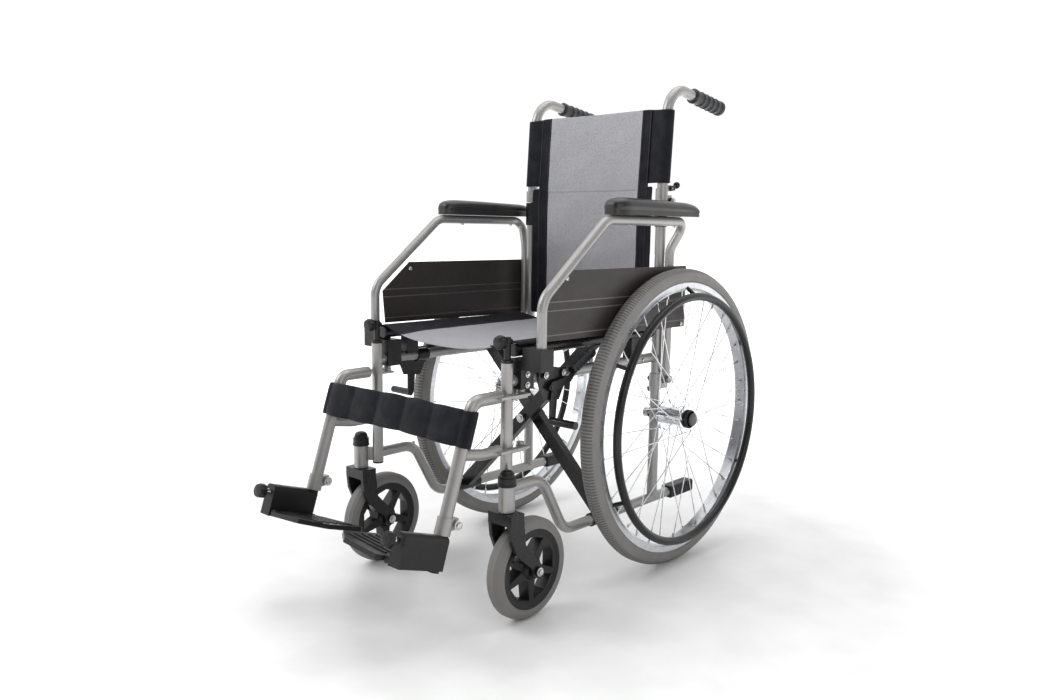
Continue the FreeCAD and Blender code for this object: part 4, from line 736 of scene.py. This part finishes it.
def make_fasteners(side, sign):
    """Bolts, rivets and screws on the frame, arm and side panel."""
    rear, front = place_of(f"{side}_wheel_spin"), place_of(f"{side}_latch_turn")
    frame_bolts = []
    outer = sign * (POST_X + 0.0102)
    inner = sign * (POST_X - 0.0102)
    spots = [
        (outer, front.y + 0.30, 0.418), (outer, rear.y - 0.06, 0.418), (outer, front.y + 0.1, 0.2325),
    ]
    for spot in spots:
        frame_bolts += pan_screw("frame_rivet", Vector(spot), (sign, 0, 0), 0.0042, FINISH["zinc"])
    for z in (0.372, 0.35):
        frame_bolts += hex_bolt("collar_bolt", Vector((inner - sign * 0.0032, rear.y, z)), (-sign, 0, 0), 0.0048,
                                FINISH["zinc"])
    bolt_face = POST_X + 0.0186
    for shift in (-0.024, 0.024):
        spot = Vector((sign * bolt_face, front.y + 0.103 + shift, 0.422))
        frame_bolts += hex_bolt("brake_bolt", spot, (sign, 0, 0), 0.0042, FINISH["zinc"])
    socket = BOX[f"arm_socket_{side}"]
    socket_y = (socket[0][1] + socket[1][1]) / 2
    for z in (0.412, 0.43):
        frame_bolts += hex_bolt("socket_bolt", Vector((sign * 0.1922, socket_y, z - 0.001)), (sign, 0, 0), 0.0038,
                                FINISH["zinc"])
    add(joined(frame_bolts, f"frame_bolts_{side}"), f"{side}_frame", "zinc_steel")
    panel_low, panel_high = (Vector(corner) for corner in BOX[f"side_panel_{side}"])
    screws = []
    spots = [(panel_low.y + 0.07, panel_high.z - 0.014), (panel_high.y - 0.012, panel_high.z - 0.03),
             (panel_high.y - 0.012, panel_low.z + 0.006)]
    for face_x, way in ((panel_low.x, -1), (panel_high.x, 1)):
        for y, z in spots:
            screws += pan_screw("panel_screw", Vector((face_x, y, z)), (way, 0, 0), 0.0045, FINISH["zinc"])
    add(joined(screws, f"panel_screws_{side}"), f"{side}_arm", "zinc_steel")


def make_knobs(side, sign):
    """Hand knobs on the legrest latch and the footrest, and bolts on the footrest's height clamp."""
    latch_place = Vector((sign * POST_X, BOX[f"legrest_lock_{side}"][0][1] + 0.0125, 0.486))
    knob = fluted_knob(f"latch_knob_{side}", latch_place, (0, -1, 0), 0.0125, 0.0135, FINISH["black_plastic"])
    add(knob, f"{side}_latch", "black_plastic")
    forward = Vector((0, -math.cos(LEG_TILT), math.sin(LEG_TILT)))
    up = Vector((0, math.sin(LEG_TILT), math.cos(LEG_TILT)))
    hinge = place_of(f"{side}_footplate_flip")
    base = Vector((sign * LEG_X, hinge.y, hinge.z)) + up * 0.034 + forward * 0.1075
    knob = fluted_knob(f"foot_knob_{side}", base, forward, 0.0128, 0.0148, FINISH["black_plastic"])
    add(knob, f"{side}_footrest", "black_plastic")
    neck = turned(f"foot_neck_{side}", [(0.0062, 0), (0.0062, 0.0135)], base - forward * 0.0136, forward,
                  FINISH["chrome"], 24)
    add(crisp(neck), f"{side}_footrest", "zinc_steel")
    leg_end = Vector((sign * LEG_X, -0.386, 0.190))
    bolt_centre = leg_end - Vector(JOINTS[f"{side}_footrest_slide"]["axis"]) * 0.012
    bolts = []
    for way in (-1, 1):
        spot = Vector((leg_end.x + way * 0.013, bolt_centre.y + 0.019, bolt_centre.z))
        bolts += hex_bolt("clamp_bolt", spot, (way, 0, 0), 0.0055, FINISH["zinc"])
    add(joined(bolts, f"clamp_bolts_{side}"), f"{side}_legrest", "zinc_steel")


def make_lever_grip(side, sign):
    """The wheel lock's hand grip: a ridged sleeve over the lever's end."""
    pivot = place_of(f"{side}_brake_lever_turn")
    rise = math.radians(25)
    tip = pivot + Vector((0, math.cos(rise), math.sin(rise))) * 0.122
    start = tip - Vector((0, 0.056, 0.028))
    start.x = tip.x = sign * 0.196
    along = tip - start
    length = along.length
    outline = [(0.0073, 0), (0.0086, 0.002)]
    for ridge in range(6):
        place = 0.006 + ridge * (length - 0.014) / 6
        outline += [(0.0088, place), (0.0078, place + 0.0015), (0.0078, place + 0.0035), (0.0088, place + 0.005)]
    outline += [(0.0092, length - 0.002), (0.0082, length + 0.003), (0.004, length + 0.005)]
    grip = turned(f"lever_grip_{side}", outline, start, along, FINISH["grip"], 28)
    add(grip, f"{side}_brake_lever", "grip_rubber")


def make_caster_details(side, sign):
    """Axle nuts on each caster, and the seam ring round its dust cap."""
    axle = place_of(f"{side}_caster_spin")
    nuts = []
    for way in (-1, 1):
        face = axle + Vector((way * 0.031, 0, 0))
        nuts += hex_bolt("caster_nut", face, (way, 0, 0), 0.0052, FINISH["zinc"])
    add(joined(nuts, f"caster_nuts_{side}"), f"{side}_fork", "zinc_steel")
    stem = place_of(f"{side}_caster_swivel")
    cap_low = 0.247  # where the dust cap meets the caster housing
    ring = turned(f"cap_ring_{side}", [(0.0157, 0), (0.0166, 0.0008), (0.0166, 0.003), (0.0157, 0.0038)],
                  Vector((stem.x, stem.y, cap_low)), (0, 0, 1), FINISH["black_plastic"], 40)
    add(ring, f"{side}_frame", "black_plastic")


def make_cane_details(side, sign):
    """A bolt through the back hinge and a nut on its inner side."""
    pivot = place_of(f"{side}_back_fold")
    bolt = hex_bolt("hinge_bolt", Vector((sign * 0.189, pivot.y, pivot.z)), (sign, 0, 0), 0.0048, FINISH["zinc"])
    bolt += hex_bolt("hinge_nut", Vector((sign * 0.161, pivot.y, pivot.z)), (-sign, 0, 0), 0.0048, FINISH["zinc"])
    add(joined(bolt, f"hinge_bolts_{side}"), f"{side}_frame", "zinc_steel")


# ---------------------------------------------------------------- stage
def studio_world(look):
    """A white surround, darker on the side the object is seen from, so that dark pieces stay dark."""
    world = bpy.data.worlds.new("studio_light")
    world.use_nodes = True
    nodes, links = world.node_tree.nodes, world.node_tree.links
    facing = nodes.new("ShaderNodeVectorMath")
    facing.operation = "DOT_PRODUCT"
    facing.inputs[1].default_value = (0.67, -0.74, 0.05)
    links.new(nodes.new("ShaderNodeTexCoord").outputs["Generated"], facing.inputs[0])
    shade = nodes.new("ShaderNodeMapRange")
    links.new(facing.outputs["Value"], shade.inputs["Value"])
    for socket, value in (("From Min", -0.35), ("From Max", 0.75), ("To Min", 1.0), ("To Max", look.shade)):
        shade.inputs[socket].default_value = value
    seen = nodes.new("ShaderNodeMath")
    seen.operation = "MAXIMUM"
    links.new(nodes.new("ShaderNodeLightPath").outputs["Is Camera Ray"], seen.inputs[0])
    links.new(shade.outputs["Result"], seen.inputs[1])
    links.new(seen.outputs["Value"], nodes["Background"].inputs["Color"])
    nodes["Background"].inputs["Strength"].default_value = look.sky
    return world


def make_stage(look):
    """A white floor that glows further out, three soft lamps and the camera."""
    bpy.ops.mesh.primitive_plane_add(size=40, location=(0, 0, -0.0005))
    floor = bpy.context.active_object
    floor.name = "studio_floor"
    ground = Finish("floor_white", (0.93, 0.93, 0.93), 0.35, Specular_IOR_Level=0.3)
    across, along = ground.axis("X"), ground.axis("Y")
    away = ground.math("SQRT", ground.math("ADD", ground.math("MULTIPLY", across, across),
                                           ground.math("MULTIPLY", along, along)))
    glow = ground.ranged(away, 0, 0.9, 0.7, 1.9)
    ground.links.new(glow, ground.shader.inputs["Emission Strength"])
    ground.shader.inputs["Emission Color"].default_value = (1, 1, 1, 1)
    floor.data.materials.append(ground.done())
    bpy.context.scene.world = studio_world(look)
    lamps = [("key", (-1.6, -1.9, 2.6), 2.0, look.key), ("fill", (2.6, -1.2, 1.7), 2.0, look.key * 0.4),
             ("top", (0.2, 0.4, 3.0), 2.4, look.key * 0.55)]
    for name, place, extent, power in lamps:
        lamp = bpy.data.lights.new(f"soft_{name}", "AREA")
        lamp.size = extent
        lamp.energy = power
        stand = bpy.data.objects.new(f"soft_{name}", lamp)
        stand.location = place
        stand.rotation_euler = (Vector((0, 0, 0.5)) - Vector(place)).to_track_quat("-Z", "Y").to_euler()
        bpy.context.scene.collection.objects.link(stand)
    camera = bpy.data.cameras.new("view")
    camera.sensor_width = 36
    camera.lens = look.lens
    camera_stand = bpy.data.objects.new("view", camera)
    place = Vector(look.camera_place)
    azimuth, elevation, roll = math.radians(42.2), math.radians(7.8), math.radians(0.8)
    back = Vector((math.sin(azimuth) * math.cos(elevation), -math.cos(azimuth) * math.cos(elevation),
                   math.sin(elevation)))
    right = Vector((0, 0, 1)).cross(back).normalized()
    up = back.cross(right)
    right_rolled = right * math.cos(roll) + up * math.sin(roll)
    up_rolled = up * math.cos(roll) - right * math.sin(roll)
    turn = Matrix((right_rolled, up_rolled, back)).transposed()
    camera_stand.matrix_world = Matrix.Translation(place) @ turn.to_4x4()
    bpy.context.scene.collection.objects.link(camera_stand)
    bpy.context.scene.camera = camera_stand
    bpy.context.scene.view_settings.view_transform = "Standard"


# ---------------------------------------------------------------- add-on
class WheelchairLook(bpy.types.PropertyGroup):
    """The sizes and colours that a user would change."""

    silver: bpy.props.FloatVectorProperty(
        name="Frame silver", description="Colour of the painted tubes", subtype="COLOR", size=3,
        default=(0.33, 0.325, 0.32), min=0, max=1)
    tyre_grey: bpy.props.FloatVectorProperty(
        name="Tyre grey", description="Colour of the tyres", subtype="COLOR", size=3,
        default=(0.215, 0.21, 0.205), min=0, max=1)
    mesh_grey: bpy.props.FloatVectorProperty(
        name="Mesh grey", description="Colour of the seat and back panels", subtype="COLOR", size=3,
        default=(0.34, 0.34, 0.36), min=0, max=1)
    mesh_half_width: bpy.props.FloatProperty(
        name="Mesh half width", description="Half the width of the mesh panels", unit="LENGTH", default=0.124)
    seat_sag: bpy.props.FloatProperty(
        name="Seat sag", description="How far the seat hangs at its middle", unit="LENGTH", default=0.021)
    strap_cells: bpy.props.IntProperty(
        name="Strap cells", description="Quilted cells across the calf strap", default=5, min=2, max=9)
    lens: bpy.props.FloatProperty(
        name="Lens", description="Focal length of the camera in millimetres", unit="CAMERA", default=30.23)
    camera_place: bpy.props.FloatVectorProperty(
        name="Camera place", description="Where the camera stands", subtype="XYZ", size=3, unit="LENGTH",
        default=(1.1924, -1.3065, 0.6748))
    sky: bpy.props.FloatProperty(name="Sky", description="Strength of the surrounding light", default=1.05)
    shade: bpy.props.FloatProperty(name="Shade", description="Light from the near side", default=0.12)
    key: bpy.props.FloatProperty(name="Key", description="Power of the main lamp", unit="POWER", default=50)


class PieceOperator(bpy.types.Operator):
    """Makes one group of pieces for both sides of the chair"""

    bl_options = {"REGISTER", "UNDO"}
    per_side = ()

    def execute(self, context):
        for side, sign in SIDES:
            for make in self.per_side:
                make(side, sign)
        return {"FINISHED"}


class WHEELCHAIR_OT_finishes(bpy.types.Operator):
    """Makes the finishes and puts them on the CAD nodes"""

    bl_idname = "wheelchair.finishes"
    bl_label = "Finishes"

    def execute(self, context):
        FINISH.update(make_finishes(context.scene.wheelchair_look))
        for name in frame["nodes"]:
            node = bpy.data.objects[name]
            finish = finish_of(name)
            if not node.material_slots:
                node.data.materials.append(finish)
            for slot in node.material_slots:
                slot.material = finish
        return {"FINISHED"}


class WHEELCHAIR_OT_seat(bpy.types.Operator):
    """Makes the seat fabric and its seams"""

    bl_idname = "wheelchair.seat"
    bl_label = "Seat"

    def execute(self, context):
        make_seat(context.scene.wheelchair_look)
        return {"FINISHED"}


class WHEELCHAIR_OT_back(bpy.types.Operator):
    """Makes the back fabric, above and below the folding line"""

    bl_idname = "wheelchair.back"
    bl_label = "Back"

    def execute(self, context):
        look = context.scene.wheelchair_look
        low, high = BOX["back_sling"]
        make_back_part("back_upper", 0.754, high[2], True, "left_back", look)
        make_back_part("back_lower", low[2], 0.762, False, "left_frame", look)
        return {"FINISHED"}


class WHEELCHAIR_OT_strap(bpy.types.Operator):
    """Makes the quilted calf strap"""

    bl_idname = "wheelchair.strap"
    bl_label = "Calf strap"

    def execute(self, context):
        make_calf_strap(context.scene.wheelchair_look)
        return {"FINISHED"}


class WHEELCHAIR_OT_pads(bpy.types.Operator):
    """Makes both arm pads and their screws"""

    bl_idname = "wheelchair.pads"
    bl_label = "Arm pads"

    def execute(self, context):
        for side, _ in SIDES:
            make_pad(side)
        return {"FINISHED"}


class WHEELCHAIR_OT_wheels(PieceOperator):
    """Makes nipples, caps, rings and nuts on the wheels and casters"""

    bl_idname = "wheelchair.wheels"
    bl_label = "Wheel details"
    per_side = (make_wheel_details, make_caster_details)


class WHEELCHAIR_OT_fittings(PieceOperator):
    """Makes bolts, screws, knobs and lever grips"""

    bl_idname = "wheelchair.fittings"
    bl_label = "Fittings"
    per_side = (make_fasteners, make_knobs, make_lever_grip, make_cane_details)


class WHEELCHAIR_OT_stage(bpy.types.Operator):
    """Makes the floor, the lights and the camera"""

    bl_idname = "wheelchair.stage"
    bl_label = "Stage"

    def execute(self, context):
        make_stage(context.scene.wheelchair_look)
        return {"FINISHED"}


OPERATORS = (WHEELCHAIR_OT_finishes, WHEELCHAIR_OT_seat, WHEELCHAIR_OT_back, WHEELCHAIR_OT_strap,
             WHEELCHAIR_OT_pads, WHEELCHAIR_OT_wheels, WHEELCHAIR_OT_fittings, WHEELCHAIR_OT_stage)


class WHEELCHAIR_PT_panel(bpy.types.Panel):
    """Lists the pieces in the order that they are made"""

    bl_idname = "WHEELCHAIR_PT_panel"
    bl_label = "Wheelchair"
    bl_space_type = "VIEW_3D"
    bl_region_type = "UI"
    bl_category = "Wheelchair"

    def draw(self, context):
        look = context.scene.wheelchair_look
        for name in look.bl_rna.properties.keys():
            if name not in ("rna_type", "name"):
                self.layout.prop(look, name)
        for operator in OPERATORS:
            self.layout.operator(operator.bl_idname)


CLASSES = (WheelchairLook, *OPERATORS, WHEELCHAIR_PT_panel)


def register():
    for entry in CLASSES:
        bpy.utils.register_class(entry)
    bpy.types.Scene.wheelchair_look = bpy.props.PointerProperty(type=WheelchairLook)


def unregister():
    del bpy.types.Scene.wheelchair_look
    for entry in reversed(CLASSES):
        bpy.utils.unregister_class(entry)


def main():
    register()
    for operator in OPERATORS:
        getattr(bpy.ops.wheelchair, operator.bl_idname.split(".")[1])()


if __name__ == "__main__":
    main()
